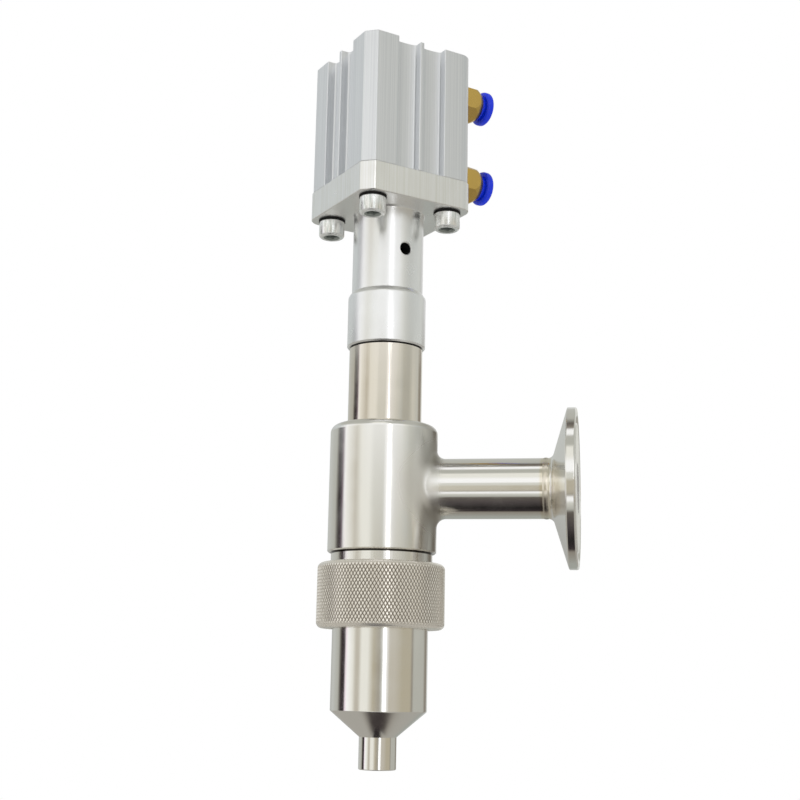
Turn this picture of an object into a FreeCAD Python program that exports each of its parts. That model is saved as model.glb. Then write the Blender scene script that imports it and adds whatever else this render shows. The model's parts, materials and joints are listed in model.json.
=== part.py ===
"""Anti-drip filling nozzle with an air cylinder, a valve stem and a knurled union nut.

Millimetres. The origin is the middle of the spout's lip, +Z runs up the nozzle's axis
and +X runs along the inlet branch. Every piece is built on the Z axis and then moved to its place.
"""
import FreeCAD, Part
import math
import os

V = FreeCAD.Vector
ORIGIN = V(0, 0, 0)
UP = V(0, 0, 1)

# Spout and nozzle, upwards from the lip
spout_diameter = 11.6
spout_length = 9.7
spout_bore = 9.0
cone_length = 7.7
cone_wall = 3.5
nozzle_diameter = 29.9
nozzle_length_shown = 24.9
spout_edge_rounding = 0.3
nozzle_edge_rounding = 0.4
product_bore = 23.0
nozzle_flange_diameter = 32.4
nozzle_flange_thickness = 3.4
nozzle_seal_inner = 25.2
nozzle_seal_width = 2.2
nozzle_seal_depth = 1.6
nozzle_seal_proud = 0.3

# Knurled union nut
nut_diameter = 40.1
nut_height = 20.3
nut_lip_thickness = 4.0
nut_lip_gap = 0.3
nut_corner_radius = 1.8
nut_entry_chamfer = 1.0
nut_thread_diameter = 33.1
thread_runout = 2.9

# Valve body with its inlet branch
body_diameter = 34.4
body_length = 40.6
body_top_radius = 2.5
body_bottom_chamfer = 0.4
neck_diameter = 32.0
neck_length_shown = 3.3
body_top_wall = 8.5
thread_chamfer = 0.8
stem_way = 9.4
branch_height = 86.3
branch_root_fillet = 3.0
branch_stub_reach = 4.0
pipe_diameter = 19.05
pipe_bore = 15.8

# Clamp ferrule on the branch, its face standing off the nozzle's axis
ferrule_diameter = 50.5
ferrule_face_reach = 61.7
ferrule_length = 9.8
ferrule_rim = 2.9
ferrule_rim_rounding = 0.5
ferrule_taper_angle = 17.2
ferrule_neck_fillet = 1.9
ferrule_groove_diameter = 43.6
ferrule_groove_width = 3.2
ferrule_groove_depth = 1.2

# Stem tube between the valve body and the adapter
stem_tube_diameter = 23.7
stem_tube_length_shown = 25.7
stem_tube_bore = 15.0
tube_foot_diameter = 18.0
tube_foot_length = 4.0
tube_thread_diameter = 19.4
tube_thread_length = 15.0
collar_gap = 0.4

# Adapter, turned from one square bar
collar_diameter = 25.4
collar_length = 18.3
collar_foot_chamfer = 0.5
collar_shoulder_width = 1.0
collar_shoulder_height = 1.5
collar_shoulder_rounding = 1.5
sleeve_diameter = 23.2
sleeve_length = 27.2
sleeve_root_fillet = 0.6
plate_overhang = 0.25
plate_thickness = 9.8
plate_chamfer = 3.4
plate_corner_radius = 4.3
adapter_bore = 14.0
vent_diameter = 4.0
vent_chamfer = 0.3
vent_drop = 14.05

# Air cylinder
cylinder_angle = 40.2
cylinder_width = 40.0
cylinder_length = 44.8
cylinder_bore = 25.0
corner_chamfer = 3.2
corner_radius = 4.3
groove_outer_edge = 8.8
groove_depth = 3.4
groove_floor_sag = 0.4
groove_floor_fillet = 0.7
rib_width = 1.5
profile_edge_radius = 0.3
port_inset = 7.5
port_offset = -1.2
port_thread_diameter = 5.0
port_thread_depth = 5.0
port_air_hole = 2.5

# Screws between plate and cylinder, and the tapped holes of the rear end
screw_spacing = 28.0
screw_diameter = 5.0
screw_head_diameter = 8.5
screw_head_height = 5.4
screw_head_rounding = 0.7
screw_tip_chamfer = 0.35
screw_socket_width = 4.0
screw_socket_depth = 2.6
screw_socket_lead = 0.45
screw_reach = 10.0
screw_hole_diameter = 5.5
washer_diameter = 8.9
washer_thickness = 0.5
tapped_hole_diameter = 4.2

# End caps of the cylinder
circlip_inset = 1.0
circlip_thickness = 1.2
circlip_groove_depth = 0.7
circlip_band = 1.8
circlip_gap_angle = 40.0
circlip_ear_diameter = 3.4
circlip_eye_diameter = 1.5
circlip_ear_turn = 5.0
cap_flange = 4.0
cap_hub_length = 2.55
cap_hub_diameter = 18.0
cap_nose_diameter = 17.0
cap_nose_inset = 0.3
cap_dish_diameter = 11.0
cap_dish_depth = 1.5
cap_ring_section = 1.8

# Piston and rod
rod_diameter = 10.0
rod_flat_width = 8.0
rod_flat_length = 5.5
rod_spigot_diameter = 8.0
bush_wall = 1.0
bush_length = 5.4
rod_seal_depth = 2.2
rod_seal_height = 2.2
rod_seal_step = 0.3
piston_height = 9.0
piston_screw_diameter = 5.0
piston_screw_head = 9.0
piston_screw_head_height = 2.8
piston_screw_reach = 7.0
piston_recess_depth = 3.2
piston_seal_height = 3.0
piston_seal_depth = 2.4
wear_ring_height = 2.4
wear_ring_depth = 1.0
piston_groove_margin = 1.0
bumper_thickness = 1.5
bumper_width = 3.6

# Valve stem, its coupling to the rod, its guide and its plug
stem_diameter = 8.0
stem_shoulder_above_gland = 10.0
stem_thread_diameter = 6.0
stem_thread_reach = 8.0
stem_thread_chamfer = 0.4
lock_nut_width = 10.0
lock_nut_height = 3.2
guide_bush_length = 21.0
stem_ring_section = 2.0
stem_ring_margin = 4.0
bush_ring_section = 1.6
spacer_wall = 1.8
plug_lip_inset = 0.4
plug_head_diameter = 13.6
plug_head_height = 3.0
plug_ring_section = 1.7
plug_ring_height = 3.4
plug_spigot_diameter = 5.0
plug_spigot_depth = 9.0

# Push-in air fittings
hex_width = 12.0
hex_length = 8.8
hex_foot_chamfer = 0.5
fitting_nose_length = 4.0
fitting_nose_middle = 12.4
fitting_nose_end = 9.8
fitting_nose_dome = 8.0
fitting_nose_rounding = 0.3
port_seal_thickness = 0.8
port_seal_diameter = 9.0
fitting_thread_length = 4.5
fitting_air_hole = 2.6
air_tube_bore = 6.2
air_tube_socket = 5.0
collet_bore = 8.7
tube_ring_section = 1.2
grab_ring_thickness = 0.5
grab_ring_teeth = 6
grab_slot_width = 0.5
collar_sleeve_wall = 1.1
collar_press = 1.2
collar_flange_gap = 1.35
collar_flange_diameter = 11.7
collar_flange_thickness = 2.75
collar_back_rounding = 1.1
collar_front_rounding = 0.9

# Clearances
running_gap = 0.05
seal_gap = 0.03
fixed_gap = 0.02
seat_gap = 0.05
end_gap = 0.1
thread_gap = 0.05

# Heights worked out from the lengths above
cone_foot = spout_length
nozzle_foot = cone_foot + cone_length
nut_foot = nozzle_foot + nozzle_length_shown
nut_shelf = nut_foot + nut_lip_thickness
nut_top = nut_foot + nut_height
flange_foot = nut_shelf + seat_gap
flange_top = flange_foot + nozzle_flange_thickness
thread_end = flange_top + nozzle_seal_proud + seat_gap
body_foot = nut_top + neck_length_shown
body_top = body_foot + body_length
body_ceiling = body_top - body_top_wall
tube_seat = body_top - tube_foot_length
collar_foot = body_top + stem_tube_length_shown
tube_shoulder = collar_foot - collar_gap
tube_top = tube_shoulder + tube_thread_length
gland_shoulder = tube_top + collar_gap
sleeve_foot = collar_foot + collar_length
plate_foot = sleeve_foot + sleeve_length
cylinder_foot = plate_foot + plate_thickness
cylinder_top = cylinder_foot + cylinder_length
vent_height = plate_foot - vent_drop
plate_width = cylinder_width + 2 * plate_overhang

# Inner cone of the nozzle: it runs beside the outer cone, one wall above it
cone_slope = (nozzle_diameter - spout_diameter) / 2 / cone_length
seat_height = cone_foot - (spout_diameter - spout_bore) / 2 / cone_slope + cone_wall
bore_height = seat_height + (product_bore - spout_bore) / 2 / cone_slope

# Stack inside the cylinder, the front half going up and the rear half down
cap_outer_face = circlip_inset + circlip_thickness + seat_gap
cap_inner_face = cap_outer_face + cap_flange
cap_hub_face = cap_inner_face + cap_hub_length
piston_foot = cylinder_foot + cap_hub_face + end_gap + bumper_thickness
piston_top = piston_foot + piston_height
stroke = cylinder_top - cap_hub_face - end_gap - bumper_thickness - piston_top

# Stem and rod meeting inside the sleeve
stem_shoulder = gland_shoulder + stem_shoulder_above_gland
rod_foot = stem_shoulder + lock_nut_height + 2 * seat_gap
stem_top = rod_foot + stem_thread_reach
plug_top = seat_height + plug_head_height


def turned(outline):
    """Turns an outline of (radius, height) points round the Z axis."""
    points = [V(radius, 0, height) for radius, height in outline]
    face = Part.Face(Part.makePolygon(points + points[:1]))
    return face.revolve(ORIGIN, UP, 360)


def ring(inner_diameter, outer_diameter, low, high):
    """A plain tube between two heights."""
    inner = inner_diameter / 2
    outer = outer_diameter / 2
    return turned([(inner, low), (outer, low), (outer, high), (inner, high)])


def rod(diameter, low, high):
    """A plain round bar between two heights."""
    return Part.makeCylinder(diameter / 2, high - low, V(0, 0, low))


def o_ring(middle_diameter, section, height):
    """A ring of round section lying flat at a height."""
    return Part.makeTorus(middle_diameter / 2, section / 2, V(0, 0, height), UP)


def hexagon(width, low, high):
    """A hexagonal bar, its width measured across flats."""
    corner = width / math.sqrt(3)
    turns = [math.radians(60 * step) for step in range(7)]
    points = [V(corner * math.cos(turn), corner * math.sin(turn), low) for turn in turns]
    return Part.Face(Part.makePolygon(points)).extrude(V(0, 0, high - low))


def edge_circles(shape, radius, height):
    """The level circular edges of a radius at a height."""
    found = []
    for edge in shape.Edges:
        curve = edge.Curve
        if isinstance(curve, Part.Circle) and abs(curve.Radius - radius) < 1e-4:
            if abs(curve.Center.z - height) < 1e-4 and abs(abs(curve.Axis.z) - 1) < 1e-6:
                found.append(edge)
    return found


def rounded(shape, fillet, radius, height):
    """Rounds the circular edges of a radius at a height."""
    return shape.makeFillet(fillet, edge_circles(shape, radius, height))


def one_piece(shape):
    """Joins faces that lie on one surface, and takes the single solid out of its compound."""
    return shape.removeSplitter().Solids[0]


def on_branch(shape):
    """Lays a piece built on the Z axis along the inlet branch."""
    shape.rotate(ORIGIN, V(0, 1, 0), 90)
    shape.translate(V(0, 0, branch_height))
    return shape


def on_cylinder(shape):
    """Turns a piece to the air cylinder's angle about the nozzle's axis."""
    shape.rotate(ORIGIN, UP, cylinder_angle)
    return shape


def on_port(shape, height):
    """Moves a piece built on the Z axis, from the port face outwards, to a port of the cylinder."""
    shape.rotate(ORIGIN, V(0, 1, 0), 90)
    shape.translate(V(cylinder_width / 2, port_offset, height))
    return on_cylinder(shape)


def screw_places():
    """The four screw axes, at the corners of a square."""
    half = screw_spacing / 2
    return [V(x, y, 0) for x in (-half, half) for y in (-half, half)]


def at_screws(shape):
    """Four separate copies of a piece, one on each screw axis."""
    copies = []
    for place in screw_places():
        copy = shape.copy()
        copy.translate(place)
        copies.append(copy)
    return Part.makeCompound(copies)


# Nozzle and union nut

def nozzle_body():
    """Spout, cone and barrel in one turned piece, with the flange that the nut holds."""
    lip = spout_diameter / 2
    bore = product_bore / 2
    barrel = nozzle_diameter / 2
    flange = nozzle_flange_diameter / 2
    groove_in = nozzle_seal_inner / 2
    groove_out = groove_in + nozzle_seal_width
    groove_floor = flange_top - nozzle_seal_depth
    shape = turned([
        (spout_bore / 2, 0), (lip, 0), (lip, cone_foot), (barrel, nozzle_foot),
        (barrel, flange_foot), (flange, flange_foot), (flange, flange_top),
        (groove_out, flange_top), (groove_out, groove_floor),
        (groove_in, groove_floor), (groove_in, flange_top),
        (bore, flange_top), (bore, bore_height), (spout_bore / 2, seat_height)])
    shape = rounded(shape, spout_edge_rounding, lip, 0)
    return rounded(shape, nozzle_edge_rounding, barrel, nozzle_foot)


def nozzle_seal():
    """Flat ring in the flange's groove, standing a little proud of it."""
    floor = flange_top - nozzle_seal_depth
    inner = nozzle_seal_inner + 2 * fixed_gap
    outer = nozzle_seal_inner + 2 * nozzle_seal_width - 2 * fixed_gap
    return ring(inner, outer, floor, flange_top + nozzle_seal_proud)


def union_nut():
    """Round nut with rounded corners, a lip under the nozzle's flange and a plain thread bore."""
    outer = nut_diameter / 2
    lip_bore = nozzle_diameter / 2 + nut_lip_gap
    bore = nut_thread_diameter / 2
    shape = turned([
        (lip_bore, nut_foot), (outer, nut_foot), (outer, nut_top),
        (bore + nut_entry_chamfer, nut_top), (bore, nut_top - nut_entry_chamfer),
        (bore, nut_shelf), (lip_bore, nut_shelf)])
    shape = rounded(shape, nut_corner_radius, outer, nut_foot)
    return rounded(shape, nut_corner_radius, outer, nut_top)


# Valve body and inlet

def valve_body():
    """Tee body: threaded foot, neck, barrel with a rounded shoulder, and the root of the branch."""
    outer = body_diameter / 2
    neck = neck_diameter / 2
    thread = nut_thread_diameter / 2 - 2 * running_gap
    thread_top = nut_top - thread_runout
    shape = turned([
        (0, thread_end), (thread - thread_chamfer, thread_end),
        (thread, thread_end + thread_chamfer), (thread, thread_top),
        (neck, thread_top + (thread - neck)), (neck, body_foot),
        (outer - body_bottom_chamfer, body_foot), (outer, body_foot + body_bottom_chamfer),
        (outer, body_top), (0, body_top)])
    shape = rounded(shape, body_top_radius, outer, body_top)
    stub = Part.makeCylinder(pipe_diameter / 2, outer + branch_stub_reach,
                             V(0, 0, branch_height), V(1, 0, 0))
    shape = shape.fuse(stub)
    root = [edge for edge in shape.Edges if isinstance(edge.Curve, Part.BSplineCurve)]
    shape = shape.makeFillet(branch_root_fillet, root)
    hollow = rod(product_bore, thread_end, body_ceiling)
    hollow = hollow.fuse(rod(stem_way, body_ceiling, tube_seat))
    hollow = hollow.fuse(rod(tube_foot_diameter + 2 * fixed_gap, tube_seat, body_top))
    inlet = Part.makeCylinder(pipe_bore / 2, outer + branch_stub_reach,
                              V(0, 0, branch_height), V(1, 0, 0))
    return one_piece(shape.cut(hollow.fuse(inlet)))


def inlet_pipe():
    """Plain tube from the body's branch to the ferrule."""
    start = body_diameter / 2 + branch_stub_reach
    return on_branch(ring(pipe_bore, pipe_diameter, start, ferrule_face_reach - ferrule_length))


def inlet_ferrule():
    """Clamp ferrule: a softened rim with a tapered back, a filleted neck and a gasket groove in its face."""
    face = ferrule_face_reach
    back = face - ferrule_length
    neck = pipe_diameter / 2
    rim = ferrule_diameter / 2
    rim_back = face - ferrule_rim
    taper_foot = rim_back - (rim - neck) * math.tan(math.radians(ferrule_taper_angle))
    shape = turned([
        (pipe_bore / 2, back), (neck, back), (neck, taper_foot),
        (rim, rim_back), (rim, face), (pipe_bore / 2, face)])
    shape = rounded(shape, ferrule_neck_fillet, neck, taper_foot)
    shape = rounded(shape, ferrule_rim_rounding, rim, rim_back)
    shape = rounded(shape, ferrule_rim_rounding, rim, face)
    middle = ferrule_groove_diameter / 2
    half = ferrule_groove_width / 2
    left = Part.LineSegment(V(middle - half, 0, face), V(middle + half, 0, face))
    floor = Part.Arc(V(middle + half, 0, face), V(middle, 0, face - ferrule_groove_depth),
                     V(middle - half, 0, face))
    groove = Part.Face(Part.Wire([left.toShape(), floor.toShape()])).revolve(ORIGIN, UP, 360)
    return on_branch(one_piece(shape.cut(groove)))


# Stem tube, guide and seals

def stem_tube():
    """Tube with a foot let into the body and a threaded top that the adapter screws on to."""
    bore = stem_tube_bore / 2
    foot = tube_foot_diameter / 2
    outer = stem_tube_diameter / 2
    thread = tube_thread_diameter / 2
    chamfer = thread_chamfer
    return turned([
        (bore, tube_seat), (foot, tube_seat), (foot, body_top), (outer, body_top),
        (outer, tube_shoulder), (thread, tube_shoulder), (thread, tube_top - chamfer),
        (thread - chamfer, tube_top), (bore, tube_top)])


def stem_ring_heights():
    """Heights of the two rings that seal the stem inside its guide bush."""
    low = tube_seat + stem_ring_margin
    return [low, tube_seat + guide_bush_length - stem_ring_margin]


def stem_guide_bush():
    """Long plain bush with two ring grooves inside and one outside."""
    bore = stem_diameter + 2 * running_gap
    outer = stem_tube_bore - 2 * fixed_gap
    top = tube_seat + guide_bush_length
    shape = ring(bore, outer, tube_seat, top)
    groove_floor = stem_diameter + 2 * seal_gap + 2 * stem_ring_section + 2 * fixed_gap
    half = stem_ring_section / 2 + fixed_gap
    for height in stem_ring_heights():
        shape = shape.cut(ring(bore - 1, groove_floor, height - half, height + half))
    middle = tube_seat + guide_bush_length / 2
    half = bush_ring_section / 2 + fixed_gap
    floor = stem_tube_bore - 2 * fixed_gap - 2 * bush_ring_section - 2 * fixed_gap
    shape = shape.cut(ring(floor, outer + 1, middle - half, middle + half))
    return one_piece(shape)


def stem_o_rings():
    """Two rings that wipe the stem."""
    middle = stem_diameter + 2 * seal_gap + stem_ring_section
    return Part.makeCompound([o_ring(middle, stem_ring_section, height)
                              for height in stem_ring_heights()])


def bush_o_ring():
    """Ring between the guide bush and the stem tube."""
    middle = stem_tube_bore - 2 * fixed_gap - bush_ring_section
    return o_ring(middle, bush_ring_section, tube_seat + guide_bush_length / 2)


def gland_spacer():
    """Tube that holds the guide bush down, itself held by the adapter's inner shoulder."""
    outer = stem_tube_bore - 2 * fixed_gap
    return ring(outer - 2 * spacer_wall, outer, tube_seat + guide_bush_length, gland_shoulder)


# Adapter and its screws

def square_outline(width, cut, radius, cut_corners):
    """A square, its first corners cut and the rest rounded, counted from the one at -X and -Y."""
    half = width / 2
    inset = radius * (1 - math.sqrt(0.5))
    edges = []
    for turn in range(4):
        spin = FreeCAD.Rotation(UP, -90 * turn)
        reach = cut if turn < cut_corners else radius
        onward = cut if (turn + 1) % 4 < cut_corners else radius
        begin, middle, end, following = [spin.multVec(V(x, y, 0)) for x, y in (
            (reach - half, -half), (inset - half, inset - half),
            (-half, reach - half), (-half, half - onward))]
        if turn < cut_corners:
            edges.append(Part.LineSegment(begin, end))
        else:
            edges.append(Part.Arc(begin, middle, end))
        edges.append(Part.LineSegment(end, following))
    return Part.Wire([edge.toShape() for edge in edges])


def adapter():
    """Square plate, round sleeve and threaded collar in one piece, with a vent hole in the sleeve."""
    outline = square_outline(plate_width, plate_chamfer, plate_corner_radius, 1)
    plate = Part.Face(outline).extrude(V(0, 0, plate_thickness))
    plate.translate(V(0, 0, plate_foot))
    collar = collar_diameter / 2
    sleeve = sleeve_diameter / 2
    shoulder = sleeve_foot - collar_shoulder_height
    turning = turned([
        (0, collar_foot), (collar - collar_foot_chamfer, collar_foot),
        (collar, collar_foot + collar_foot_chamfer), (collar, shoulder),
        (collar - collar_shoulder_width, sleeve_foot), (sleeve, sleeve_foot),
        (sleeve, plate_foot), (0, plate_foot)])
    turning = rounded(turning, collar_shoulder_rounding, collar, shoulder)
    shape = plate.fuse(turning)
    shape = rounded(shape, sleeve_root_fillet, sleeve, plate_foot)
    shape = shape.cut(rod(adapter_bore, gland_shoulder, cylinder_foot))
    shape = shape.cut(rod(tube_thread_diameter + 2 * thread_gap, collar_foot, gland_shoulder))
    for place in screw_places():
        hole = rod(screw_hole_diameter, plate_foot, cylinder_foot)
        hole.translate(place)
        shape = shape.cut(hole)
    outwards = V(0, -1, 0)
    vent = Part.makeCylinder(vent_diameter / 2, sleeve, V(0, 0, vent_height), outwards)
    flare = vent_diameter / 2 + vent_chamfer
    rim = Part.makeCone(vent_diameter / 2, flare + 1, vent_chamfer + 1,
                        V(0, -(sleeve - vent_chamfer), vent_height), outwards)
    return on_cylinder(one_piece(shape.cut(vent).cut(rim)))


def cap_screws():
    """Four socket head screws pushed up through the plate, heads down."""
    bearing = plate_foot - washer_thickness
    end = bearing - screw_head_height
    tip = cylinder_foot + screw_reach
    shank = screw_diameter / 2
    head = screw_head_diameter / 2
    edge = screw_tip_chamfer
    shape = turned([
        (0, end), (head, end), (head, bearing),
        (shank, bearing), (shank, tip - edge), (shank - edge, tip), (0, tip)])
    shape = rounded(shape, screw_head_rounding, head, end)
    socket = hexagon(screw_socket_width, end, end + screw_socket_depth)
    corner = screw_socket_width / math.sqrt(3)
    lead = Part.makeCone(corner + screw_socket_lead, corner, screw_socket_lead, V(0, 0, end), UP)
    return on_cylinder(at_screws(shape.cut(socket).cut(lead)))


def screw_washers():
    """Four thin washers between the heads and the plate."""
    inner = screw_diameter + 2 * fixed_gap
    washer = ring(inner, washer_diameter, plate_foot - washer_thickness, plate_foot)
    return on_cylinder(at_screws(washer))


# Air cylinder

def groove_pair():
    """The two grooves beside the rib of one face, on the face that looks along +X."""
    half = cylinder_width / 2
    wall_foot = half - groove_depth + groove_floor_sag
    height = cylinder_length
    pair = []
    for side in (-1, 1):
        near = side * rib_width / 2
        far = side * groove_outer_edge
        middle = (near + far) / 2
        edges = [
            Part.LineSegment(V(half + 1, near, 0), V(wall_foot, near, 0)),
            Part.Arc(V(wall_foot, near, 0), V(half - groove_depth, middle, 0),
                     V(wall_foot, far, 0)),
            Part.LineSegment(V(wall_foot, far, 0), V(half + 1, far, 0)),
            Part.LineSegment(V(half + 1, far, 0), V(half + 1, near, 0))]
        wire = Part.Wire([edge.toShape() for edge in edges])
        groove = Part.Face(wire).extrude(V(0, 0, height))
        feet = [edge for edge in groove.Edges
                if edge.Length > height - 1e-3 and abs(edge.CenterOfMass.x - wall_foot) < 1e-3]
        pair.append(groove.makeFillet(groove_floor_fillet, feet))
    return pair


def upright_edges(shape):
    """The upright edges where grooves meet the faces, left sharp by the cuts."""
    half = cylinder_width / 2
    places = (rib_width / 2, groove_outer_edge)
    found = []
    for edge in shape.Edges:
        if edge.Length < cylinder_length - 1e-3:
            continue
        point = edge.CenterOfMass
        across, along = sorted((abs(point.x), abs(point.y)))
        if abs(along - half) < 1e-3 and any(abs(across - place) < 1e-3 for place in places):
            found.append(edge)
    return found


def cylinder_barrel():
    """Extruded square barrel: ribbed on three faces, plain on the fourth, which has the air ports."""
    outline = square_outline(cylinder_width, corner_chamfer, corner_radius, 2)
    shape = Part.Face(outline).extrude(V(0, 0, cylinder_length))
    for turn in (90, 180, 270):
        for groove in groove_pair():
            groove.rotate(ORIGIN, UP, turn)
            shape = shape.cut(groove)
    shape = shape.makeFillet(profile_edge_radius, upright_edges(shape))
    shape.translate(V(0, 0, cylinder_foot))
    shape = shape.cut(rod(cylinder_bore, cylinder_foot, cylinder_top))
    clip_groove = cylinder_bore + 2 * circlip_groove_depth
    for low in (cylinder_foot + circlip_inset,
                cylinder_top - circlip_inset - circlip_thickness - seat_gap):
        shape = shape.cut(rod(clip_groove, low, low + circlip_thickness + seat_gap))
    threaded = screw_diameter + 2 * thread_gap
    for place in screw_places():
        through = rod(tapped_hole_diameter, cylinder_foot, cylinder_top)
        wide = rod(threaded, cylinder_foot, cylinder_foot + screw_reach + end_gap)
        both = through.fuse(wide)
        both.translate(place)
        shape = shape.cut(both)
    for height in port_heights():
        face = cylinder_width / 2
        thread = Part.makeCylinder(port_thread_diameter / 2 + thread_gap, port_thread_depth,
                                   V(face - port_thread_depth, port_offset, height), V(1, 0, 0))
        way = Part.makeCylinder(port_air_hole / 2, face, V(0, port_offset, height), V(1, 0, 0))
        shape = shape.cut(thread).cut(way)
    return on_cylinder(one_piece(shape))


def port_heights():
    """Heights of the upper and the lower air port."""
    return [cylinder_top - port_inset, cylinder_foot + port_inset]


def circlip():
    """Internal retaining ring lying on the XY plane: a band with a gap between two eared ends."""
    outer = cylinder_bore / 2 + circlip_groove_depth - running_gap
    shape = ring(2 * (outer - circlip_band), 2 * outer, 0, circlip_thickness)
    half_gap = math.radians(circlip_gap_angle / 2)
    reach = 2 * outer
    spread = reach * math.tan(half_gap)
    wedge = Part.Face(Part.makePolygon([
        ORIGIN, V(reach, -spread, 0), V(reach, spread, 0), ORIGIN]))
    shape = shape.cut(wedge.extrude(V(0, 0, circlip_thickness)))
    ear_radius = outer - circlip_ear_diameter / 2 - circlip_groove_depth
    for side in (-1, 1):
        turn = side * (half_gap + math.radians(circlip_ear_turn))
        place = V(ear_radius * math.cos(turn), ear_radius * math.sin(turn), 0)
        ear = rod(circlip_ear_diameter, 0, circlip_thickness)
        eye = rod(circlip_eye_diameter, 0, circlip_thickness)
        ear.translate(place)
        eye.translate(place)
        shape = shape.fuse(ear).cut(eye)
    return one_piece(shape)


def end_cap_outline():
    """Outline of an end cap, from its outer face inwards: nose, flange with a ring groove, hub."""
    nose = cap_nose_diameter / 2
    flange = cylinder_bore / 2 - fixed_gap
    hub = cap_hub_diameter / 2
    groove = flange - cap_ring_section - fixed_gap
    middle = (cap_outer_face + cap_inner_face) / 2
    half = cap_ring_section / 2 + fixed_gap
    return [
        (0, cap_nose_inset), (nose, cap_nose_inset), (nose, cap_outer_face),
        (flange, cap_outer_face), (flange, middle - half), (groove, middle - half),
        (groove, middle + half), (flange, middle + half), (flange, cap_inner_face),
        (hub, cap_inner_face), (hub, cap_hub_face), (0, cap_hub_face)]


def cap_o_ring():
    """Ring round an end cap's flange."""
    middle = cylinder_bore - 2 * fixed_gap - cap_ring_section
    return o_ring(middle, cap_ring_section, (cap_outer_face + cap_inner_face) / 2)


def at_front(shape):
    """Places a piece built from the cylinder's end face inwards at the front end."""
    shape.translate(V(0, 0, cylinder_foot))
    return on_cylinder(shape)


def at_rear(shape):
    """Turns the same kind of piece over and places it at the rear end."""
    shape.rotate(ORIGIN, V(1, 0, 0), 180)
    shape.translate(V(0, 0, cylinder_top))
    return on_cylinder(shape)


def front_cap():
    """Rod side cap, bored for the rod bush and grooved for the rod seal."""
    shape = turned(end_cap_outline())
    shape = shape.cut(rod(rod_diameter + 4 * running_gap, 0, cap_hub_face))
    pocket_top = cap_nose_inset + bush_length
    shape = shape.cut(rod(rod_diameter + 2 * bush_wall + 2 * fixed_gap, 0, pocket_top))
    low = pocket_top + rod_seal_step
    shape = shape.cut(rod(rod_diameter + 2 * rod_seal_depth, low, low + rod_seal_height))
    return at_front(one_piece(shape))


def rod_bush():
    """Bearing bush of the piston rod."""
    bore = rod_diameter + 2 * running_gap
    return at_front(ring(bore, rod_diameter + 2 * bush_wall, cap_nose_inset,
                         cap_nose_inset + bush_length))


def rod_seal():
    """Lipped ring round the rod: a base with an inner and an outer lip that open to the chamber."""
    inner = rod_diameter / 2 + seal_gap
    outer = rod_diameter / 2 + rod_seal_depth - fixed_gap
    low = cap_nose_inset + bush_length + rod_seal_step
    high = low + rod_seal_height - fixed_gap
    middle = (inner + outer) / 2
    notch = low + rod_seal_height / 2
    return at_front(turned([
        (inner, low + fixed_gap), (outer, low + fixed_gap), (outer, high),
        (middle, notch), (inner, high)]))


def rear_cap():
    """Closed rear cap with a shallow dish in its outer face."""
    shape = turned(end_cap_outline())
    dish = rod(cap_dish_diameter, cap_nose_inset, cap_nose_inset + cap_dish_depth)
    return at_rear(one_piece(shape.cut(dish)))


def seated_circlip():
    """The retaining ring at its depth below the end face."""
    shape = circlip()
    shape.translate(V(0, 0, circlip_inset + seat_gap / 2))
    return shape


# Piston and rod

def piston():
    """Piston with a seal groove, a wear ring groove and a recess for its screw."""
    outer = cylinder_bore / 2 - 2 * running_gap
    seal_floor = cylinder_bore / 2 - piston_seal_depth
    wear_floor = cylinder_bore / 2 - wear_ring_depth
    seal_low = piston_foot + piston_groove_margin
    wear_high = piston_top - piston_groove_margin
    spigot = rod_spigot_diameter / 2 + fixed_gap
    recess = piston_screw_head / 2 + end_gap
    shape = turned([
        (spigot, piston_foot), (outer, piston_foot), (outer, seal_low), (seal_floor, seal_low),
        (seal_floor, seal_low + piston_seal_height), (outer, seal_low + piston_seal_height),
        (outer, wear_high - wear_ring_height), (wear_floor, wear_high - wear_ring_height),
        (wear_floor, wear_high), (outer, wear_high), (outer, piston_top),
        (recess, piston_top), (recess, piston_top - piston_recess_depth),
        (spigot, piston_top - piston_recess_depth)])
    return on_cylinder(shape)


def piston_seal():
    """Seal ring of the piston, with a lip towards each side of the bore."""
    outer = cylinder_bore / 2 - seal_gap
    inner = cylinder_bore / 2 - piston_seal_depth + fixed_gap
    low = piston_foot + piston_groove_margin + fixed_gap
    high = low + piston_seal_height - 2 * fixed_gap
    waist = outer - piston_seal_depth / 4
    return turned([(inner, low), (outer, low), (waist, (low + high) / 2), (outer, high),
                   (inner, high)])


def wear_ring():
    """Guide band of the piston."""
    high = piston_top - piston_groove_margin - fixed_gap
    inner = cylinder_bore - 2 * wear_ring_depth + 2 * fixed_gap
    return ring(inner, cylinder_bore - 2 * running_gap, high - wear_ring_height + 2 * fixed_gap,
                high)


def front_bumper():
    """Soft ring under the piston."""
    inner = rod_diameter + 2 * fixed_gap
    return ring(inner, inner + 2 * bumper_width, piston_foot - bumper_thickness, piston_foot)


def rear_bumper():
    """Soft ring on the piston, round the recess of its screw."""
    inner = piston_screw_head + 2 * end_gap
    return ring(inner, inner + 2 * bumper_width, piston_top, piston_top + bumper_thickness)


def piston_screw():
    """Low head screw that holds the piston on the rod."""
    head_low = piston_top - piston_recess_depth
    shank = piston_screw_diameter / 2
    head = piston_screw_head / 2
    top = head_low + piston_screw_head_height
    tip = head_low - piston_screw_reach
    shape = turned([(0, tip), (shank, tip), (shank, head_low), (head, head_low),
                    (head, top), (0, top)])
    socket = hexagon(piston_screw_diameter / 2, top - piston_screw_head_height / 2, top)
    return shape.cut(socket)


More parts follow.
